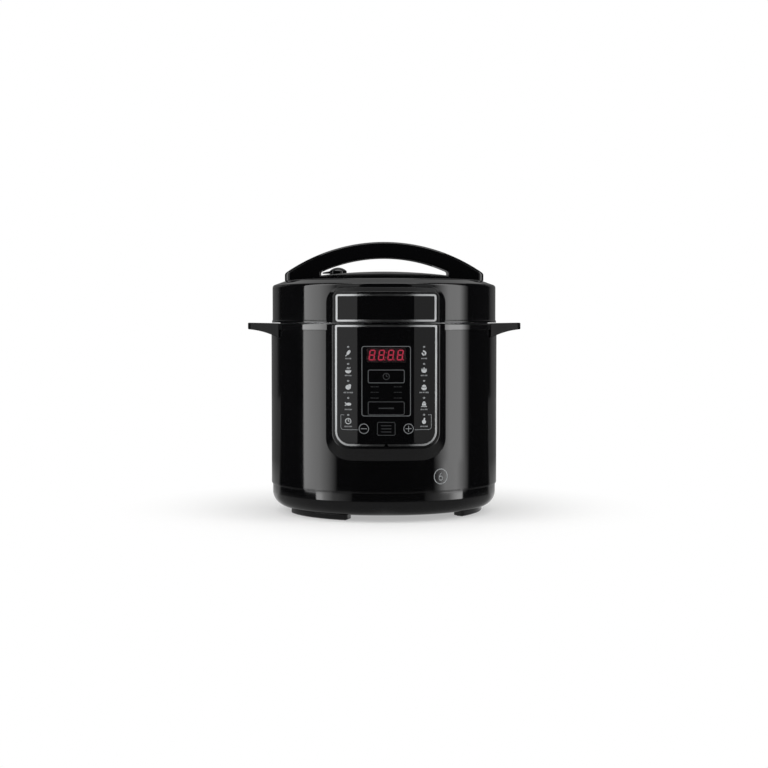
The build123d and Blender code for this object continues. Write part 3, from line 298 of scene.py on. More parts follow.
def moulded_phenolic():
    """Heat-proof phenolic of the side handles: a duller black than the satin parts, with broken edges."""
    texture = (0.6, 0.015, 3.0, 0.9)
    return plain("moulded_phenolic", colours().gloss, (20, 0.34, 0.44), texture, Specular_IOR_Level=0.13)


def black_acrylic():
    """Clear acrylic over black print: the flattest and sharpest reflections on the cooker."""
    return plain("black_acrylic", colours().acrylic, (30, 0.025, 0.05), IOR=1.49)


def smoked_polycarbonate():
    """Tinted polycarbonate window: the lit digits show through, the unlit ground does not."""
    more = {"IOR": 1.58, "Transmission_Weight": 1.0}
    return plain("smoked_polycarbonate", colours().smoke, (25, 0.01, 0.03), **more)


def chromed_abs():
    """Chrome plate on ABS: a soft mirror with a little haze, black at a pointed mark in the trim's foot."""
    material, tree, place = new_finish("chromed_abs")
    lean, rise = 0.6, 2.6 * MM
    split = add(tree, "ShaderNodeSeparateXYZ", {"Vector": place})
    aside = add(tree, "ShaderNodeMath", {0: split.outputs["X"]}, operation="ABSOLUTE").outputs["Value"]
    slope = {0: split.outputs["Z"], 1: lean, 2: aside}
    edge = add(tree, "ShaderNodeMath", slope, operation="MULTIPLY_ADD").outputs["Value"]
    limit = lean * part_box("panel_trim")[0].z + rise
    mark = add(tree, "ShaderNodeMath", {0: edge, 1: limit}, operation="LESS_THAN").outputs["Value"]
    painted = {"Factor": mark, 6: rgba(colours().chrome), 7: rgba(colours().acrylic)}
    tone = add(tree, "ShaderNodeMix", painted, data_type="RGBA").outputs[2]
    close(tree, Base_Color=tone, Roughness=speckle(tree, place, 12, 0.18, 0.26), Metallic=1.0)
    return material


def brushed_stainless():
    """Stainless steel brushed round: fine rings, drawn 0.5 mm apart so that they show."""
    material, tree, place = new_finish("brushed_stainless")
    rings = turned(tree, place, 0.5, 0.18, 0.36, 0.4, 0.01)
    close(tree, Base_Color=rgba(colours().steel), Metallic=1.0, **rings)
    return material


def spun_steel():
    """Spun steel: dull silver with the tool's rings about 0.8 mm apart and faint stains."""
    material, tree, place = new_finish("spun_steel")
    rings = turned(tree, place, 0.8, 0.3, 0.48, 0.5, 0.02)
    shade = tuple(0.82 * part for part in colours().spun)
    stained = {"Factor": speckle(tree, place, 35, 0.0, 1.0), 6: rgba(colours().spun), 7: rgba(shade)}
    tone = add(tree, "ShaderNodeMix", stained, data_type="RGBA").outputs[2]
    close(tree, Base_Color=tone, Metallic=1.0, **rings)
    return material


def coated_pot():
    """Drawn aluminium with a speckled non-stick coat inside; the bare outside shows the drawing rings."""
    material, tree, place = new_finish("coated_pot")
    low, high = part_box("inner_pot")
    wall, rim = 2.0 * MM, 3.0 * MM
    reach, height = axis_reach(tree, place)
    within = {0: reach, 1: high.x - rim - wall / 2}
    inside = add(tree, "ShaderNodeMath", within, operation="LESS_THAN")
    risen = add(tree, "ShaderNodeMath", {0: height, 1: low.z + wall / 2}, operation="GREATER_THAN")
    both = {0: inside.outputs["Value"], 1: risen.outputs["Value"]}
    coat = add(tree, "ShaderNodeMath", both, operation="MULTIPLY").outputs["Value"]
    fleck = add(tree, "ShaderNodeTexVoronoi", {"Vector": place, "Scale": per(2.2)})
    spots = span(fleck.outputs["Distance"], 0.1, 0.2, 1.0, 0.0)
    spot = add(tree, "ShaderNodeMapRange", spots).outputs["Result"]
    pale = tuple(3 * part for part in colours().coating)
    dotted = {"Factor": spot, 6: rgba(colours().coating), 7: rgba(pale)}
    lining = add(tree, "ShaderNodeMix", dotted, data_type="RGBA").outputs[2]
    skin = {"Factor": coat, 6: rgba(colours().aluminium), 7: lining}
    tone = add(tree, "ShaderNodeMix", skin, data_type="RGBA").outputs[2]
    metallic = add(tree, "ShaderNodeMapRange", span(coat, 0.0, 1.0, 1.0, 0.0)).outputs["Result"]
    close(tree, Base_Color=tone, Metallic=metallic, **turned(tree, place, 0.9, 0.28, 0.42, 0.4, 0.02))
    return material


def cast_aluminium():
    """Cast aluminium: dull, with the 1.5 mm pitting of the mould."""
    return plain("cast_aluminium", colours().aluminium, (8, 0.42, 0.6), (1.5, 0.05, 3.0), Metallic=1.0)


def white_silicone():
    """Moulded silicone: cloudy white, soft sheen, a trace of light below the skin."""
    more = {"IOR": 1.41, "Subsurface_Weight": 0.2, "Subsurface_Scale": 0.004}
    return plain("white_silicone", colours().silicone, (10, 0.42, 0.55), (0.8, 0.01), **more)


def moulded_rubber():
    """Black rubber: matt and finely pitted."""
    return plain("moulded_rubber", colours().rubber, (6, 0.72, 0.88), (0.5, 0.03, 3.0), IOR=1.52)


def circuit_board():
    """Glass-epoxy board: green resist with paler tracks 2.5 mm apart."""
    material, tree, place = new_finish("circuit_board")
    tracks = {"Vector": place, "Scale": per(10), "Mortar Size": 0.03, "Brick Width": 0.5, "Row Height": 0.25}
    pale = tuple(min(1, 1.7 * part) for part in colours().board)
    tracks.update({"Color1": rgba(colours().board), "Color2": rgba(colours().board), "Mortar": rgba(pale)})
    tone = add(tree, "ShaderNodeTexBrick", tracks).outputs["Color"]
    roughness = speckle(tree, place, 5, 0.28, 0.4)
    close(tree, Base_Color=tone, Roughness=roughness, IOR=1.55)
    return material


def plated_brass():
    """Plated brass contacts: bright, with slight wear."""
    return plain("plated_brass", colours().plated, (3, 0.2, 0.36), Metallic=1.0)


def clear_polycarbonate():
    """Clear cup, slightly hazy from use."""
    more = {"IOR": 1.58, "Transmission_Weight": 0.9}
    return plain("clear_polycarbonate", colours().clear, (12, 0.06, 0.16), **more)


INKS = {
    "light_ink": "#85888A",
    "pale_ink": "#B9BCBE",
    "label_ink": "#77797B",
    "grey_ink": "#5E6163",
    "link_ink": "#7A7D7F",
    "hint_ink": "#1E2022",
    "sign_ink": "#303234",
    "key_upper_ink": "#5A5D5F",
    "key_lower_ink": "#414345",
    "key_start_ink": "#383A3C",
    "key_minus_ink": "#7E8183",
    "key_plus_ink": "#7E8183",
    "badge_ink": "#8C8F91",
}


def printed_ink(name):
    """Screen-printed ink: matt, with the unevenness of the mesh, drawn at 0.8 mm so that it shows."""
    material, tree, place = new_finish(name)
    tint = linear(INKS[name])
    thin = tuple(0.82 * part for part in tint)
    uneven = {"Factor": speckle(tree, place, 0.8, 0.0, 1.0), 6: rgba(tint), 7: rgba(thin)}
    tone = add(tree, "ShaderNodeMix", uneven, data_type="RGBA").outputs[2]
    close(tree, Base_Color=tone, Roughness=0.5)
    return material


def lit_segment():
    """Lit display segment: red, a little uneven over 2.5 mm, as light from single chips is."""
    material, tree, place = new_finish("lit_segment")
    glow = speckle(tree, place, 2.5, 1.25, 1.6)
    dark = tuple(0.1 * part for part in colours().lamp)
    lit = {"Emission_Color": rgba(colours().lamp), "Emission_Strength": glow}
    close(tree, Base_Color=rgba(dark), Roughness=0.4, **lit)
    return material


FINISHES = {
    gloss_abs: "lid_cover lid_dome lid_block lid_handle panel_bezel base_shell"
    " foot_left foot_right foot_rear valve_weight",
    black_lacquer: "top_ring",
    enamelled_steel: "body_sleeve",
    moulded_phenolic: "side_handle_left side_handle_right",
    satin_polypropylene: "handle_grip bottom_cover cup_holder power_inlet transformer relay led_display",
    black_acrylic: "control_fascia name_plate key_upper key_lower key_start key_minus key_plus",
    smoked_polycarbonate: "display_lens",
    chromed_abs: "panel_trim plate_trim",
    brushed_stainless: "lid_plate vent_pipe vent_shield float_pin seal_carrier sensor_cap sensor_cup"
    " sensor_spring lid_screws handle_screws board_screws power_board_screws cover_screws flange_bolts"
    " heating_element",
    spun_steel: "outer_pot",
    cast_aluminium: "heating_plate",
    coated_pot: "inner_pot",
    white_silicone: "sealing_ring float_seal",
    moulded_rubber: "foot_pads key_switches pressure_switch thermal_fuse",
    circuit_board: "display_board power_board",
    plated_brass: "inlet_pins",
    clear_polycarbonate: "condensate_cup",
}


class COOKER_OT_finishes(bpy.types.Operator):
    """Give each solid of the cooker its finish"""

    bl_idname = "cooker.finishes"
    bl_label = "Finishes"

    def execute(self, context):
        for finish, names in FINISHES.items():
            material = finish()
            for name in names.split():
                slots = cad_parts[name].data.materials
                slots.clear()
                slots.append(material)
        return {"FINISHED"}


# Flat drawing: x across, y up, z out of the face

ROUND = 32
SNAP = 1e-5
BEND_STEP = 4 * MM


def flat(x, y, turn=0.0, wide=1.0, high=1.0):
    """Where a flat shape goes: its middle, turn and scale."""
    scale = Matrix.Diagonal((wide, high, 1.0, 1.0))
    return Matrix.Translation((x, y, 0)) @ Matrix.Rotation(turn, 4, "Z") @ scale


def disc(bm, x, y, radius, high=None, turn=0.0):
    """A filled circle or oval."""
    place = flat(x, y, turn, radius, radius if high is None else high)
    bmesh.ops.create_circle(bm, cap_ends=True, radius=1.0, segments=ROUND, matrix=place)


def stroke(bm, start, end, width):
    """A straight line of a width."""
    start, end = Vector(start), Vector(end)
    run = end - start
    place = flat(*((start + end) / 2), math.atan2(run.y, run.x), run.length / 2, width / 2)
    bmesh.ops.create_grid(bm, x_segments=1, y_segments=1, size=1.0, matrix=place)


def arc(bm, x, y, radius, width, first=0.0, last=360.0):
    """A round line of a width between two angles in degrees, counted from the right."""
    first, last = math.radians(first), math.radians(last)
    out = Vector((math.cos(first), math.sin(first), 0))
    middle = Vector((x, y, 0))
    ends = [bm.verts.new(middle + out * (radius + side * width / 2)) for side in (-1, 1)]
    edge = bm.edges.new(ends)
    steps = max(6, round((last - first) / math.radians(10)))
    whole = math.isclose(last - first, 2 * math.pi)
    bmesh.ops.spin(
        bm, geom=[*ends, edge], cent=middle, axis=(0, 0, 1), angle=last - first, steps=steps, use_merge=whole
    )


def half_disc(bm, x, y, radius, lower=True):
    """A filled half circle, its round side below or above."""
    found = bmesh.ops.create_circle(bm, cap_ends=True, radius=radius, segments=ROUND, matrix=flat(x, y))
    faces = {face for vert in found["verts"] for face in vert.link_faces}
    edges = {edge for vert in found["verts"] for edge in vert.link_edges}
    side = (0, 1, 0) if lower else (0, -1, 0)
    geom = [*found["verts"], *edges, *faces]
    bmesh.ops.bisect_plane(bm, geom=geom, dist=SNAP, plane_co=(x, y, 0), plane_no=side, clear_outer=True)


def rounded_patch(bm, x, y, wide, high, corner, segments):
    """A filled rounded rectangle, and what its rounding made."""
    place = flat(x, y, 0, wide / 2, high / 2)
    found = bmesh.ops.create_grid(bm, x_segments=1, y_segments=1, size=1.0, matrix=place)
    bevel = dict(offset_type="OFFSET", segments=segments, profile=0.5, affect="VERTICES", material=-1)
    return bmesh.ops.bevel(bm, geom=found["verts"], offset=corner, **bevel)


def rounded_line(bm, x, y, wide, high, line, corner):
    """The outline of a rounded rectangle."""
    made = rounded_patch(bm, x, y, wide, high, corner, 6)
    face = max({face for vert in made["verts"] for face in vert.link_faces}, key=lambda f: f.calc_area())
    bmesh.ops.inset_region(bm, faces=[face], thickness=line, use_boundary=True, use_even_offset=True)
    bmesh.ops.delete(bm, geom=[face], context="FACES_KEEP_BOUNDARY")


def stamp(bm, draw, place):
    """Draw into a mesh and move what was drawn to its place."""
    before = set(bm.verts)
    draw(bm)
    new = [vert for vert in bm.verts if vert not in before]
    bmesh.ops.transform(bm, matrix=place, verts=new)


def thicken(bm, height):
    """Raise a flat drawing from its face."""
    raised = bmesh.ops.extrude_face_region(bm, geom=bm.faces[:])["geom"]
    tops = [item for item in raised if isinstance(item, bmesh.types.BMVert)]
    bmesh.ops.translate(bm, verts=tops, vec=(0, 0, height))


def wrapped(bm, radius, height, turn=0.0):
    """Give a flat drawing its thickness and bend it round the cooker's axis, at a turn from the front."""
    reach = max(abs(vert.co.x) for vert in bm.verts)
    cuts = int(reach / BEND_STEP)
    for count in range(-cuts, cuts + 1):
        geom = bm.verts[:] + bm.edges[:] + bm.faces[:]
        cut = dict(plane_co=(count * BEND_STEP, 0, 0), plane_no=(1, 0, 0))
        bmesh.ops.bisect_plane(bm, geom=geom, dist=SNAP * MM, **cut)
    thicken(bm, height)
    for vert in bm.verts:
        across, up, out = vert.co
        depth = math.sqrt((radius + out) ** 2 - across**2)
        vert.co = (across, -depth, up)
    bmesh.ops.rotate(bm, verts=bm.verts, cent=(0, 0, 0), matrix=Matrix.Rotation(turn, 3, "Z"))
    bmesh.ops.recalc_face_normals(bm, faces=bm.faces)


def mesh_object(bm, name, material):
    """An object of a finished mesh and its material."""
    mesh = bpy.data.meshes.new(name)
    bm.to_mesh(mesh)
    bm.free()
    mesh.materials.append(material)
    made = bpy.data.objects.new(name, mesh)
    bpy.context.scene.collection.objects.link(made)
    return made


def piece(bm, name, material, body):
    """Turn a drawing into a piece that rides on a body."""
    made = mesh_object(bm, name, material)
    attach(made, body)


def sizes():
    """The sizes of the printing."""
    return bpy.context.scene.cooker_print


def face_radius(node):
    """Radius of a panel piece's front at the middle."""
    return -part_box(node)[0].y


def trim_top():
    """Height of the top of the bright line, from which the printing is placed."""
    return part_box("panel_trim")[1].z


def printed(bm, name, ink, body="cooker_body"):
    """Finish a drawing on the control face as a piece of thin ink."""
    wrapped(bm, face_radius("control_fascia"), sizes().ink_height)
    piece(bm, name, ink, body)


def light_heights():
    """Heights of the five lights in a column."""
    first = trim_top() - sizes().first_light
    return [first - step * sizes().light_pitch for step in range(5)]


# Symbols, drawn in a square from -1 to 1


def leaf(bm):
    """A leaf with its stalk."""
    disc(bm, 0.1, 0.2, 0.42, 0.85, math.radians(-35))
    stroke(bm, (-0.8, -0.9), (-0.1, -0.2), 0.22)


def soup(bm):
    """A bowl with steam."""
    half_disc(bm, 0, -0.05, 0.9)
    for side in (-0.35, 0.05, 0.45):
        stroke(bm, (side, 0.25), (side + 0.15, 0.9), 0.16)


def bean(bm):
    """A bean."""
    disc(bm, 0, 0, 0.8, 0.72)
    disc(bm, 0.45, 0.5, 0.42)


def fish(bm):
    """A fish."""
    disc(bm, 0.15, 0, 0.75, 0.45)
    for side in (0.5, -0.5):
        stroke(bm, (-0.5, 0), (-0.95, side), 0.3)


def clock(bm):
    """A clock face."""
    arc(bm, 0, 0, 0.8, 0.24)
    for hand in ((0, 0.55), (0.42, 0)):
        stroke(bm, (0, 0), hand, 0.2)


def grains(bm):
    """Three grains."""
    for x, y, turn in ((-0.4, -0.3, 30), (0.4, -0.2, -20), (0.05, 0.5, 60)):
        disc(bm, x, y, 0.25, 0.5, math.radians(turn))


def pan(bm):
    """A pan with a lid."""
    half_disc(bm, 0, 0.05, 0.85)
    stroke(bm, (-0.85, 0.28), (0.85, 0.28), 0.22)
    disc(bm, 0, 0.6, 0.2)


def rice(bm):
    """A heaped bowl."""
    half_disc(bm, 0, -0.1, 0.85)
    half_disc(bm, 0, 0.08, 0.65, lower=False)


def cake(bm):
    """A slice on a plate."""
    rounded_patch(bm, 0, -0.1, 1.2, 0.7, 0.12, 5)
    half_disc(bm, 0, 0.35, 0.45, lower=False)
    stroke(bm, (-0.9, -0.75), (0.9, -0.75), 0.2)


def flame(bm):
    """A flame."""
    disc(bm, 0, -0.25, 0.6, 0.62)
    stroke(bm, (-0.1, 0), (0.2, 0.95), 0.4)


# Symbols down the left and right columns, and how wide each row's label is
COLUMNS = {-1: (leaf, soup, bean, fish, clock), 1: (grains, pan, rice, cake, flame)}
LABEL_SHARES = (0.62, 0.7, 1.0, 0.75, 0.8)
WORD_BARS = (0.3, 0.18, 0.38)
HINT_ROWS = (0.18, 0.5, 0.82)
LIGHT_SHARE = 0.8


def word(bm, x, y, width, height):
    """A label: bars with small gaps in place of letters."""
    gap = (1 - sum(WORD_BARS)) / (len(WORD_BARS) - 1)
    left = x - width / 2
    for part in WORD_BARS:
        stroke(bm, (left, y), (left + part * width, y), height)
        left += (part + gap) * width


class COOKER_OT_indicators(bpy.types.Operator):
    """Print the two columns of lights, symbols and labels"""

    bl_idname = "cooker.indicators"
    bl_label = "Indicator columns"

    def execute(self, context):
        size = sizes()
        icon = size.icon_size
        lights, symbols, labels = bmesh.new(), bmesh.new(), bmesh.new()
        for side, drawings in COLUMNS.items():
            x = side * size.column
            for height, draw, share in zip(light_heights(), drawings, LABEL_SHARES):
                disc(lights, x, height, size.light_radius, LIGHT_SHARE * size.light_radius)
                stamp(symbols, draw, flat(x, height - size.icon_drop, 0, icon, icon))
                word(labels, x, height - size.label_drop, share * size.label_width, size.label_height)
        printed(lights, "indicator_lights", printed_ink("light_ink"))
        printed(symbols, "function_symbols", printed_ink("pale_ink"))
        printed(labels, "label_bars", printed_ink("label_ink"))
        return {"FINISHED"}


def key_link(bm, side):
    """The line from a column's last symbol, round a bend, to the round key on its side."""
    size = sizes()
    line, bend = size.link_line, size.link_bend
    high = light_heights()[-1]
    low = high - size.link_drop
    outer = side * (size.column + size.link_reach)
    inner = side * (abs(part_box("key_minus")[0].x) + size.link_gap)
    turn = outer - side * bend
    stroke(bm, (outer, high), (outer, low + bend), line)
    arc(bm, turn, low + bend, bend, line, *((180, 270) if side < 0 else (270, 360)))
    stroke(bm, (turn, low), (inner, low), line)
    stroke(bm, (outer, high), (outer - side * size.link_hook, high), line)


class COOKER_OT_panel_lines(bpy.types.Operator):
    """Print the line round the display, the lines to the round keys and the bars between the wide keys"""

    bl_idname = "cooker.panel_lines"
    bl_label = "Panel lines"

    def execute(self, context):
        size = sizes()
        outline, links, hints = bmesh.new(), bmesh.new(), bmesh.new()
        high = size.frame_low - size.frame_high
        middle = trim_top() - (size.frame_low + size.frame_high) / 2
        rounded_line(outline, 0, middle, 2 * size.frame_half, high, size.frame_line, size.frame_corner)
        upper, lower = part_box("key_upper")[0].z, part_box("key_lower")[1].z
        for side in (-1, 1):
            key_link(links, side)
        for row in HINT_ROWS:
            for side in (-1, 1):
                height = upper + row * (lower - upper)
                word(hints, side * size.hint_column, height, size.hint_width, size.hint_height)
        printed(outline, "display_line", printed_ink("grey_ink"))
        printed(links, "key_links", printed_ink("link_ink"))
        printed(hints, "hint_bars", printed_ink("hint_ink"))
        return {"FINISHED"}


def clock_sign(bm):
    """A clock."""
    half = sizes().clock_size
    stamp(bm, clock, flat(0, 0, 0, half, half))


def bar_sign(bm):
    """A bar."""
    half = sizes().bar_half
    stroke(bm, (-half, 0), (half, 0), sizes().bar_height)


def rows_sign(bm):
    """Three rows."""
    half = sizes().row_half
    for count in (-1, 0, 1):
        level = count * sizes().row_pitch
        stroke(bm, (-half, level), (half, level), sizes().row_height)


# Keys, and the sign of each wide one
KEYS = {"key_upper": clock_sign, "key_lower": bar_sign, "key_start": rows_sign}
KEYS.update(key_minus=None, key_plus=None)
ARM_SHARE = 0.28


def ring_mark(bm, x, y, tall, plus):
    """A ring with a minus or a plus in it."""
    line = sizes().key_line
    arm = ARM_SHARE * tall
    arc(bm, x, y, tall / 2 - line, line)
    stroke(bm, (x - arm, y), (x + arm, y), line)
    for way in (-1, 1) if plus else ():
        stroke(bm, (x, y + way * line / 2), (x, y + way * arm), line)


class COOKER_OT_key_marks(bpy.types.Operator):
    """Print the line and the sign on each key"""

    bl_idname = "cooker.key_marks"
    bl_label = "Key marks"

    def execute(self, context):
        line, corner = sizes().key_line, sizes().key_corner
        faint = printed_ink("sign_ink")
        for name, sign in KEYS.items():
            low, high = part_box(name)
            middle = (low + high) / 2
            wide, tall = high.x - low.x, high.z - low.z
            bm = bmesh.new()
            if sign:
                rounded_line(bm, middle.x, middle.z, wide - line, tall - line, line, corner)
                signs = bmesh.new()
                stamp(signs, sign, flat(middle.x, middle.z))
                printed(signs, name + "_sign", faint, name)
            else:
                ring_mark(bm, middle.x, middle.z, tall, name == "key_plus")
            printed(bm, name + "_mark", printed_ink(name + "_ink"), name)
        return {"FINISHED"}


# Figures of the display: how many, and how far they stand off
FIGURES, DISPLAY_GAP = 4, 0.01 * MM
# Shares of a segment's width, and of a figure's height
SEGMENT_GAP, POINT_REACH, COLON_RADIUS = 0.14, 1.075, 0.4
COLON_RISE = 0.22


def digit(bm):
    """The seven segments of a figure eight and the point after it, upright about the origin."""
    size = sizes()
    line = size.segment
    half, top = (size.digit_width - line) / 2, (size.digit_height - line) / 2
    level = [((-half, row), (half, row)) for row in (top, 0, -top)]
    upright = [((side, base), (side, base + top)) for side in (-half, half) for base in (-top, 0)]
    for start, end in level + upright:
        start, end = Vector(start), Vector(end)
        along = (end - start).normalized()
        gap, tip = SEGMENT_GAP * line * along, line / 2 * along
        start, end = start + gap, end - gap
        beside = line / 2 * Vector((-along.y, along.x))
        one_side = (start + tip + beside, end - tip + beside)
        other_side = (end - tip - beside, start + tip - beside)
        corners = (start, *one_side, end, *other_side)
        bm.faces.new([bm.verts.new((*corner, 0)) for corner in corners])
    disc(bm, half + POINT_REACH * line, -top, 0.5 * line)


class COOKER_OT_digits(bpy.types.Operator):
    """Light the four figures of the display"""

    bl_idname = "cooker.digits"
    bl_label = "Display digits"

    def execute(self, context):
        size = sizes()
        low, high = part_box("led_display")
        middle = (low.z + high.z) / 2
        slant = Matrix.Identity(4)
        slant[0][1] = math.tan(size.digit_lean)
        bm = bmesh.new()
        for count in range(FIGURES):
            x = (count - (FIGURES - 1) / 2) * size.digit_pitch
            stamp(bm, digit, Matrix.Translation((x, middle, 0)) @ slant)
        for side in (-1, 1):
            rise = side * COLON_RISE * size.digit_height
            disc(bm, slant[0][1] * rise, middle + rise, COLON_RADIUS * size.segment)
        thicken(bm, size.ink_height)
        bmesh.ops.rotate(bm, verts=bm.verts, cent=(0, 0, 0), matrix=Matrix.Rotation(math.pi / 2, 3, "X"))
        bmesh.ops.translate(bm, verts=bm.verts, vec=(0, low.y - DISPLAY_GAP, 0))
        bmesh.ops.recalc_face_normals(bm, faces=bm.faces)
        piece(bm, "display_digits", lit_segment(), "cooker_body")
        return {"FINISHED"}


# First and last angle of the stroke above the mark's bowl
FIGURE_TAIL = (122, 180)


class COOKER_OT_capacity_mark(bpy.types.Operator):
    """Print the capacity mark, a plain figure in a ring, low on the body"""

    bl_idname = "cooker.capacity_mark"
    bl_label = "Capacity mark"

    def execute(self, context):
        size = sizes()
        bowl, line, z = size.figure_bowl, size.figure_line, size.badge_height
        bm = bmesh.new()
        arc(bm, 0, z, size.badge_ring, size.badge_line)
        arc(bm, 0, z - size.figure_drop, bowl, line)
        arc(bm, 2 * bowl, z - size.figure_drop, 3 * bowl, line, *FIGURE_TAIL)
        wrapped(bm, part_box("body_sleeve")[1].x, size.ink_height, size.badge_angle)
        piece(bm, "capacity_mark", printed_ink("badge_ink"), "cooker_body")
        return {"FINISHED"}


# Spring: radius and sides of its wire, turns, and steps in a turn

COIL_WIRE, COIL_SIDES, COIL_TURNS, COIL_STEPS = 0.7 * MM, 12, 6, 32


class COOKER_OT_sensor_coil(bpy.types.Operator):
    """Wind the sensor's spring as a coil of wire, in place of the solid spring"""

    bl_idname = "cooker.sensor_coil"
    bl_label = "Sensor spring"

    def execute(self, context):
        low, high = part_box("sensor_spring")
        reach = high.x - COIL_WIRE
        pitch = (high.z - low.z - 2 * COIL_WIRE) / COIL_TURNS
        tilt = Matrix.Rotation(math.pi / 2 + math.atan2(pitch, 2 * math.pi * reach), 4, "X")
        place = Matrix.Translation((reach, 0, low.z + COIL_WIRE)) @ tilt
        bm = bmesh.new()
        start = bmesh.ops.create_circle(bm, radius=COIL_WIRE, segments=COIL_SIDES, matrix=place)
        winding = dict(cent=(0, 0, 0), axis=(0, 0, 1), dvec=(0, 0, pitch / COIL_STEPS))
        winding.update(angle=2 * math.pi * COIL_TURNS, steps=COIL_TURNS * COIL_STEPS)
        bmesh.ops.spin(bm, geom=[*start["verts"], *bm.edges], **winding)
        bmesh.ops.holes_fill(bm, edges=[edge for edge in bm.edges if edge.is_boundary], sides=0)
        bmesh.ops.recalc_face_normals(bm, faces=bm.faces)
        for face in bm.faces:
            face.smooth = len(face.verts) == 4
        coil = mesh_object(bm, "sensor_coil", bpy.data.materials["brushed_stainless"])
        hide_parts("sensor_spring")
        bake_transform(coil)
        return {"FINISHED"}


# Studio, in metres: brightness along a lamp or a card goes from its first edge to its last

LEFT_FALL = ((0.0, 0.0), (0.25, 0.45), (0.5, 0.78), (1.0, 1.0))
RIGHT_FALL = ((0.0, 0.0), (0.12, 0.25), (0.3, 0.95), (0.6, 1.0), (1.0, 0.0))
LEFT_PATCH = ((0.0, 0.03), (0.25, 0.1), (0.5, 0.17), (0.75, 0.55), (0.85, 1.0), (1.0, 1.0))
RIGHT_PATCH = ((0.0, 0.03), (0.35, 0.12), (0.6, 0.3), (0.75, 0.75), (0.87, 1.0), (1.0, 1.0))
EVEN = ((0.0, 1.0), (1.0, 1.0))

# Upright lamps: first and last angle from the front, foot, level and brightness
LAMP_REACH, LAMP_TOP = 0.95, 1.3
SOFTBOXES = {
    "softbox_left": (-45, -83.6, 0.0, 3.4, LEFT_FALL),
    "softbox_right": (46, 88, 0.0, 3.2, RIGHT_FALL),
    "fill_left": (-24, -46, 0.03, 0.68, EVEN),
    "fill_right": (25, 46, 0.03, 0.42, EVEN),
}

# Cards on the floor: first and last angle from the front, near and far end, level and brightness
FOCUS_REACH, FOCUS_TURN = 0.111, 16.5
CARDS = {
    "card_left": (-45, -83.6, 0.335, 2.0, 3.4, LEFT_FALL),
    "card_right": (46, 88, 0.335, 2.0, 3.2, RIGHT_FALL),
    "base_card_left": (-30, -70, 0.19, 0.335, 5.0, LEFT_PATCH),
    "base_card_right": (37, 81, 0.19, 0.335, 5.0, RIGHT_PATCH),
}

# Lamps overhead: place, width and level
OVERHEAD = {"softbox_top": ((0.0, 0.0, 1.8), 1.2, 1.8), "softbox_rear": ((0.0, 1.5, 1.5), 1.8, 0.17)}

FLOOR_RADIUS, SET_RADIUS, SET_FOOT, SET_HEIGHT, SET_SIDES = 30.0, 3.0, -0.1, 4.0, 64
FLOOR_DROP, SHADE_LIFT, CARD_LIFT = 0.2 * MM, 0.5 * MM, MM
WHITE = (1, 1, 1, 1)
AIR_LEVEL, DARK_LEVEL = 0.45, 0.014

# Where a level changes: first and last place, and the level at each
FLOOR_FADE = (0.15, 0.36, 0.4, 1.0)
DRAPE_RISE = (1.95, 2.35, DARK_LEVEL, 0.15)
SHADE_NEAR = (0.2, 0.36, 0.24, DARK_LEVEL)
SHADE_REAR = (-0.16, -0.09, 0.0, 1.0)
SHADE_FALL = (0.3, 0.8, 0.4, 0.15)

# Slope of the edge between the shade's front and its paler rear
SHADE_SPREAD = 0.85


def polar(reach, turn, height=0.0):
    """A point at a distance and an angle from the front."""
    return Vector((reach * math.sin(turn), -reach * math.cos(turn), height))


def paint(ramp, stops):
    """Give a colour ramp its greys, from left to right."""
    elements = ramp.color_ramp.elements
    elements.remove(elements[1])
    for count, (place, value) in enumerate(stops):
        element = elements[0] if count == 0 else elements.new(place)
        element.position = place
        element.color = (value, value, value, 1)


def lamp(name, wide, high, level, place, aim):
    """A rectangular lamp, out of the camera's sight, with a level of brightness."""
    light = bpy.data.lights.new(name, "AREA")
    light.shape = "RECTANGLE"
    light.size, light.size_y = wide, high
    light.energy = level * wide * high * math.pi
    made = bpy.data.objects.new(name, light)
    made.location = place
    made.rotation_euler = aim.to_track_quat("-Z", "Y").to_euler()
    made.visible_camera = False
    bpy.context.scene.collection.objects.link(made)
    return light


def softbox(name, first, last, foot, level, stops):
    """A lamp that spans two angles from the front, with its brightness given along its width."""
    ends = [polar(LAMP_REACH, math.radians(turn)) for turn in (first, last)]
    middle = (ends[0] + ends[1]) / 2
    place = middle + Vector((0, 0, (foot + LAMP_TOP) / 2))
    light = lamp(name, (ends[1] - ends[0]).length, LAMP_TOP - foot, level, place, -middle)
    light.use_nodes = True
    tree = light.node_tree
    tree.nodes.clear()
    spot = add(tree, "ShaderNodeNewGeometry").outputs["Parametric"]
    split = add(tree, "ShaderNodeSeparateXYZ", {"Vector": spot})
    ramp = add(tree, "ShaderNodeValToRGB", {"Fac": split.outputs["X"]})
    paint(ramp, [(1 - place, value) for place, value in reversed(stops)])
    shade = add(tree, "ShaderNodeEmission", {"Strength": ramp.outputs["Color"]})
    add(tree, "ShaderNodeOutputLight", {"Surface": shade.outputs["Emission"]})


def background_ray(tree):
    """One for rays that may show the background: the camera's, reflected and passing through."""
    path = add(tree, "ShaderNodeLightPath")
    shown = {0: path.outputs["Is Camera Ray"], 1: path.outputs["Is Glossy Ray"]}
    either = add(tree, "ShaderNodeMath", shown, operation="MAXIMUM")
    more = {0: either.outputs["Value"], 1: path.outputs["Is Transmission Ray"]}
    return add(tree, "ShaderNodeMath", more, operation="MAXIMUM").outputs["Value"]


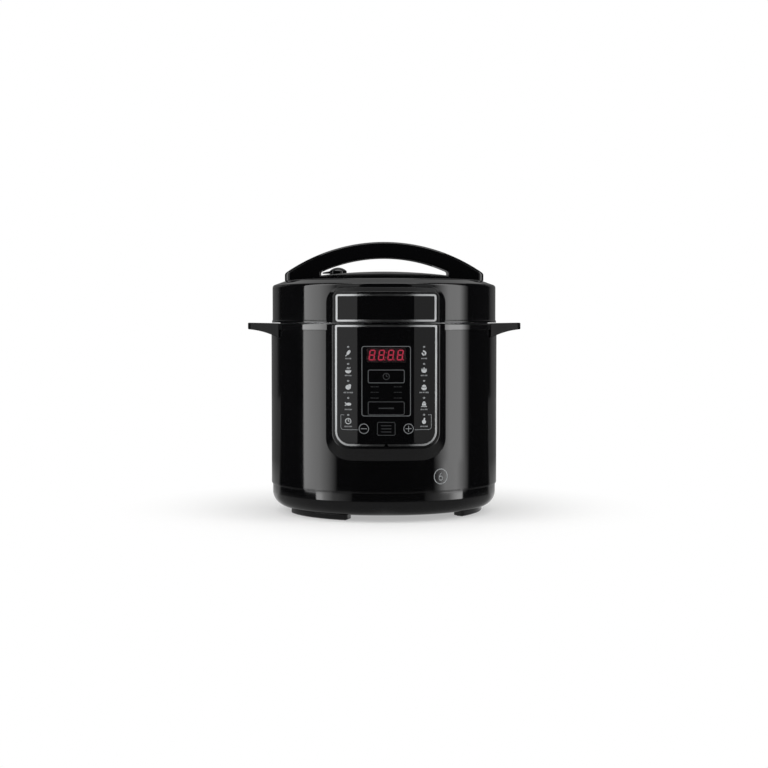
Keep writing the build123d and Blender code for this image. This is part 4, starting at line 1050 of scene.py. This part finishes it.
def white_world():
    """A white background and a dim, even light from all round."""
    world = bpy.data.worlds.new("studio_air")
    world.use_nodes = True
    tree = world.node_tree
    tree.nodes.clear()
    dim, white = [
        add(tree, "ShaderNodeBackground", {"Color": WHITE, "Strength": level}) for level in (AIR_LEVEL, 1.0)
    ]
    mixed = {0: background_ray(tree), 1: dim.outputs[0], 2: white.outputs[0]}
    mix = add(tree, "ShaderNodeMixShader", mixed)
    add(tree, "ShaderNodeOutputWorld", {"Surface": mix.outputs[0]})
    bpy.context.scene.world = world


def stage_piece(bm, name, material):
    """A piece of the studio."""
    made = mesh_object(bm, name, material)
    return made


def round_sheet(bm, radius, height):
    """A flat round sheet at a height."""
    place = Matrix.Translation((0, 0, height))
    bmesh.ops.create_circle(bm, cap_ends=True, radius=radius, segments=SET_SIDES, matrix=place)


def glowing_card(bm, name, material, **glow):
    """End a card's material with its light, and show the card in reflections alone."""
    tree = material.node_tree
    shade = add(tree, "ShaderNodeEmission", glow)
    add(tree, "ShaderNodeOutputMaterial", {"Surface": shade.outputs[0]})
    card = stage_piece(bm, name, material)
    for ray in ("camera", "diffuse", "transmission", "volume_scatter", "shadow"):
        setattr(card, "visible_" + ray, False)


def studio_floor(tint):
    """Pale floor: plain paper near the cooker, where its shadow falls, white beyond and open from below."""
    material, tree, place = new_finish("studio_floor")
    reach = add(tree, "ShaderNodeVectorMath", {0: place}, operation="LENGTH").outputs["Value"]
    far = span(reach, *FLOOR_FADE)
    away = add(tree, "ShaderNodeMapRange", far, interpolation_type="SMOOTHSTEP").outputs["Result"]
    share = {0: away, 1: background_ray(tree)}
    factor = add(tree, "ShaderNodeMath", share, operation="MULTIPLY").outputs["Value"]
    paper = add(tree, "ShaderNodeBsdfDiffuse", {"Color": rgba(tint)})
    white = add(tree, "ShaderNodeEmission", {"Color": WHITE, "Strength": 1.0})
    mix = add(tree, "ShaderNodeMixShader", {0: factor, 1: paper.outputs[0], 2: white.outputs[0]})
    below = add(tree, "ShaderNodeNewGeometry").outputs["Backfacing"]
    seen_through = add(tree, "ShaderNodeBsdfTransparent")
    sided = add(tree, "ShaderNodeMixShader", {0: below, 1: mix.outputs[0], 2: seen_through.outputs[0]})
    add(tree, "ShaderNodeOutputMaterial", {"Surface": sided.outputs[0]})
    bm = bmesh.new()
    round_sheet(bm, FLOOR_RADIUS, -FLOOR_DROP)
    stage_piece(bm, "studio_floor", material)


def studio_drapes():
    """Dark drapes round the set, which the polished black shows between the lamps; paler at the rear."""
    material, tree, place = new_finish("studio_drapes")
    split = add(tree, "ShaderNodeSeparateXYZ", {"Vector": place})
    behind = span(split.outputs["Y"], *DRAPE_RISE)
    level = add(tree, "ShaderNodeMapRange", behind, interpolation_type="SMOOTHSTEP").outputs["Result"]
    bm = bmesh.new()
    cone = dict(cap_ends=False, segments=SET_SIDES, radius1=SET_RADIUS, radius2=SET_RADIUS, depth=SET_HEIGHT)
    bmesh.ops.create_cone(bm, matrix=Matrix.Translation((0, 0, SET_FOOT + SET_HEIGHT / 2)), **cone)
    round_sheet(bm, SET_RADIUS, SET_FOOT + SET_HEIGHT)
    glowing_card(bm, "studio_drapes", material, Color=WHITE, Strength=level)


def floor_shade():
    """A dark card on the floor, which the base and its edges show; paler near the cooker and behind it."""
    material, tree, place = new_finish("floor_shade")
    reach = add(tree, "ShaderNodeVectorMath", {0: place}, operation="LENGTH").outputs["Value"]
    close_by = add(tree, "ShaderNodeMapRange", span(reach, *SHADE_NEAR)).outputs["Result"]
    split = add(tree, "ShaderNodeSeparateXYZ", {"Vector": place})
    aside = add(tree, "ShaderNodeMath", {0: split.outputs["X"]}, operation="ABSOLUTE").outputs["Value"]
    past = {0: aside, 1: -SHADE_SPREAD, 2: split.outputs["Y"]}
    depth = add(tree, "ShaderNodeMath", past, operation="MULTIPLY_ADD").outputs["Value"]
    behind = span(depth, *SHADE_REAR)
    rear = add(tree, "ShaderNodeMapRange", behind, interpolation_type="SMOOTHSTEP").outputs["Result"]
    pale = add(tree, "ShaderNodeMapRange", span(reach, *SHADE_FALL)).outputs["Result"]
    sum_up = {0: rear, 1: pale, 2: close_by}
    level = add(tree, "ShaderNodeMath", sum_up, operation="MULTIPLY_ADD").outputs["Value"]
    bm = bmesh.new()
    round_sheet(bm, SET_RADIUS, SHADE_LIFT)
    glowing_card(bm, "floor_shade", material, Color=WHITE, Strength=level)


def floor_card(name, first, last, near, far, level, stops):
    """A card on the floor before a lamp, so that its reflection runs down the sleeve and onto the base."""
    focus = polar(FOCUS_REACH, math.radians(math.copysign(FOCUS_TURN, first)), CARD_LIFT)
    ends = [polar(LAMP_REACH, math.radians(turn), CARD_LIFT) - focus for turn in (first, last)]
    across = (ends[1] - ends[0]).normalized()
    ahead = across.cross((0, 0, math.copysign(1, first)))
    material, tree, place = new_finish(name)
    offset = {0: place, 1: focus}
    from_focus = add(tree, "ShaderNodeVectorMath", offset, operation="SUBTRACT").outputs["Vector"]
    over, out = [
        add(tree, "ShaderNodeVectorMath", {0: from_focus, 1: way}, operation="DOT_PRODUCT").outputs["Value"]
        for way in (across, ahead)
    ]
    ratio = add(tree, "ShaderNodeMath", {0: over, 1: out}, operation="DIVIDE").outputs["Value"]
    edges = [end.dot(across) / end.dot(ahead) for end in ends]
    share = add(tree, "ShaderNodeMapRange", span(ratio, *edges)).outputs["Result"]
    ramp = add(tree, "ShaderNodeValToRGB", {"Fac": share})
    paint(ramp, stops)
    whole = ends[0].dot(ahead)
    near, far = near / whole, min(1, far / whole)
    bm = bmesh.new()
    corners = ((near, 0), (far, 0), (far, 1), (near, 1))
    verts = [bm.verts.new(focus + part * ends[side]) for part, side in corners]
    bmesh.ops.contextual_create(bm, geom=verts)
    glowing_card(bm, name, material, Color=ramp.outputs["Color"], Strength=level)


class COOKER_OT_studio(bpy.types.Operator):
    """Set the floor, the soft light and the camera"""

    bl_idname = "cooker.studio"
    bl_label = "Studio"

    def execute(self, context):
        studio = context.scene.cooker_studio
        white_world()
        studio_floor(studio.floor)
        studio_drapes()
        floor_shade()
        for name, values in SOFTBOXES.items():
            softbox(name, *values)
        for name, values in CARDS.items():
            floor_card(name, *values)
        for name, (place, size, level) in OVERHEAD.items():
            lamp(name, size, size, level, place, -Vector(place))
        eye = bpy.data.cameras.new("photo_camera")
        eye.lens = studio.lens
        camera = bpy.data.objects.new("photo_camera", eye)
        camera.location = polar(studio.camera_distance, studio.camera_angle, studio.camera_height)
        camera.rotation_euler = (math.pi / 2 - studio.camera_pitch, 0, studio.camera_angle)
        context.scene.collection.objects.link(camera)
        context.scene.camera = camera
        context.scene.view_settings.view_transform = "Standard"
        return {"FINISHED"}


OPERATORS = (
    COOKER_OT_studio,
    COOKER_OT_finishes,
    COOKER_OT_indicators,
    COOKER_OT_panel_lines,
    COOKER_OT_key_marks,
    COOKER_OT_digits,
    COOKER_OT_capacity_mark,
    COOKER_OT_sensor_coil,
)


class COOKER_PT_panel(bpy.types.Panel):
    """Lists the steps that dress the cooker"""

    bl_idname = "COOKER_PT_panel"
    bl_label = "Pressure cooker"
    bl_space_type = "VIEW_3D"
    bl_region_type = "UI"
    bl_category = "Cooker"

    def draw(self, context):
        for operator in OPERATORS:
            self.layout.operator(operator.bl_idname)


SETTINGS = {"cooker_colours": CookerColours, "cooker_print": CookerPrint, "cooker_studio": CookerStudio}


def register():
    """Add the settings, the steps and the panel."""
    for group in (*SETTINGS.values(), *OPERATORS, COOKER_PT_panel):
        bpy.utils.register_class(group)
    for name, group in SETTINGS.items():
        setattr(bpy.types.Scene, name, PointerProperty(type=group))


def unregister():
    """Take them away again."""
    for name in SETTINGS:
        delattr(bpy.types.Scene, name)
    for group in reversed((*SETTINGS.values(), *OPERATORS, COOKER_PT_panel)):
        bpy.utils.unregister_class(group)


def main():
    """Dress the cooker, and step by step."""
    register()
    for operator in OPERATORS:
        family, step = operator.bl_idname.split(".")
        getattr(getattr(bpy.ops, family), step)()


if __name__ == "__main__":
    main()
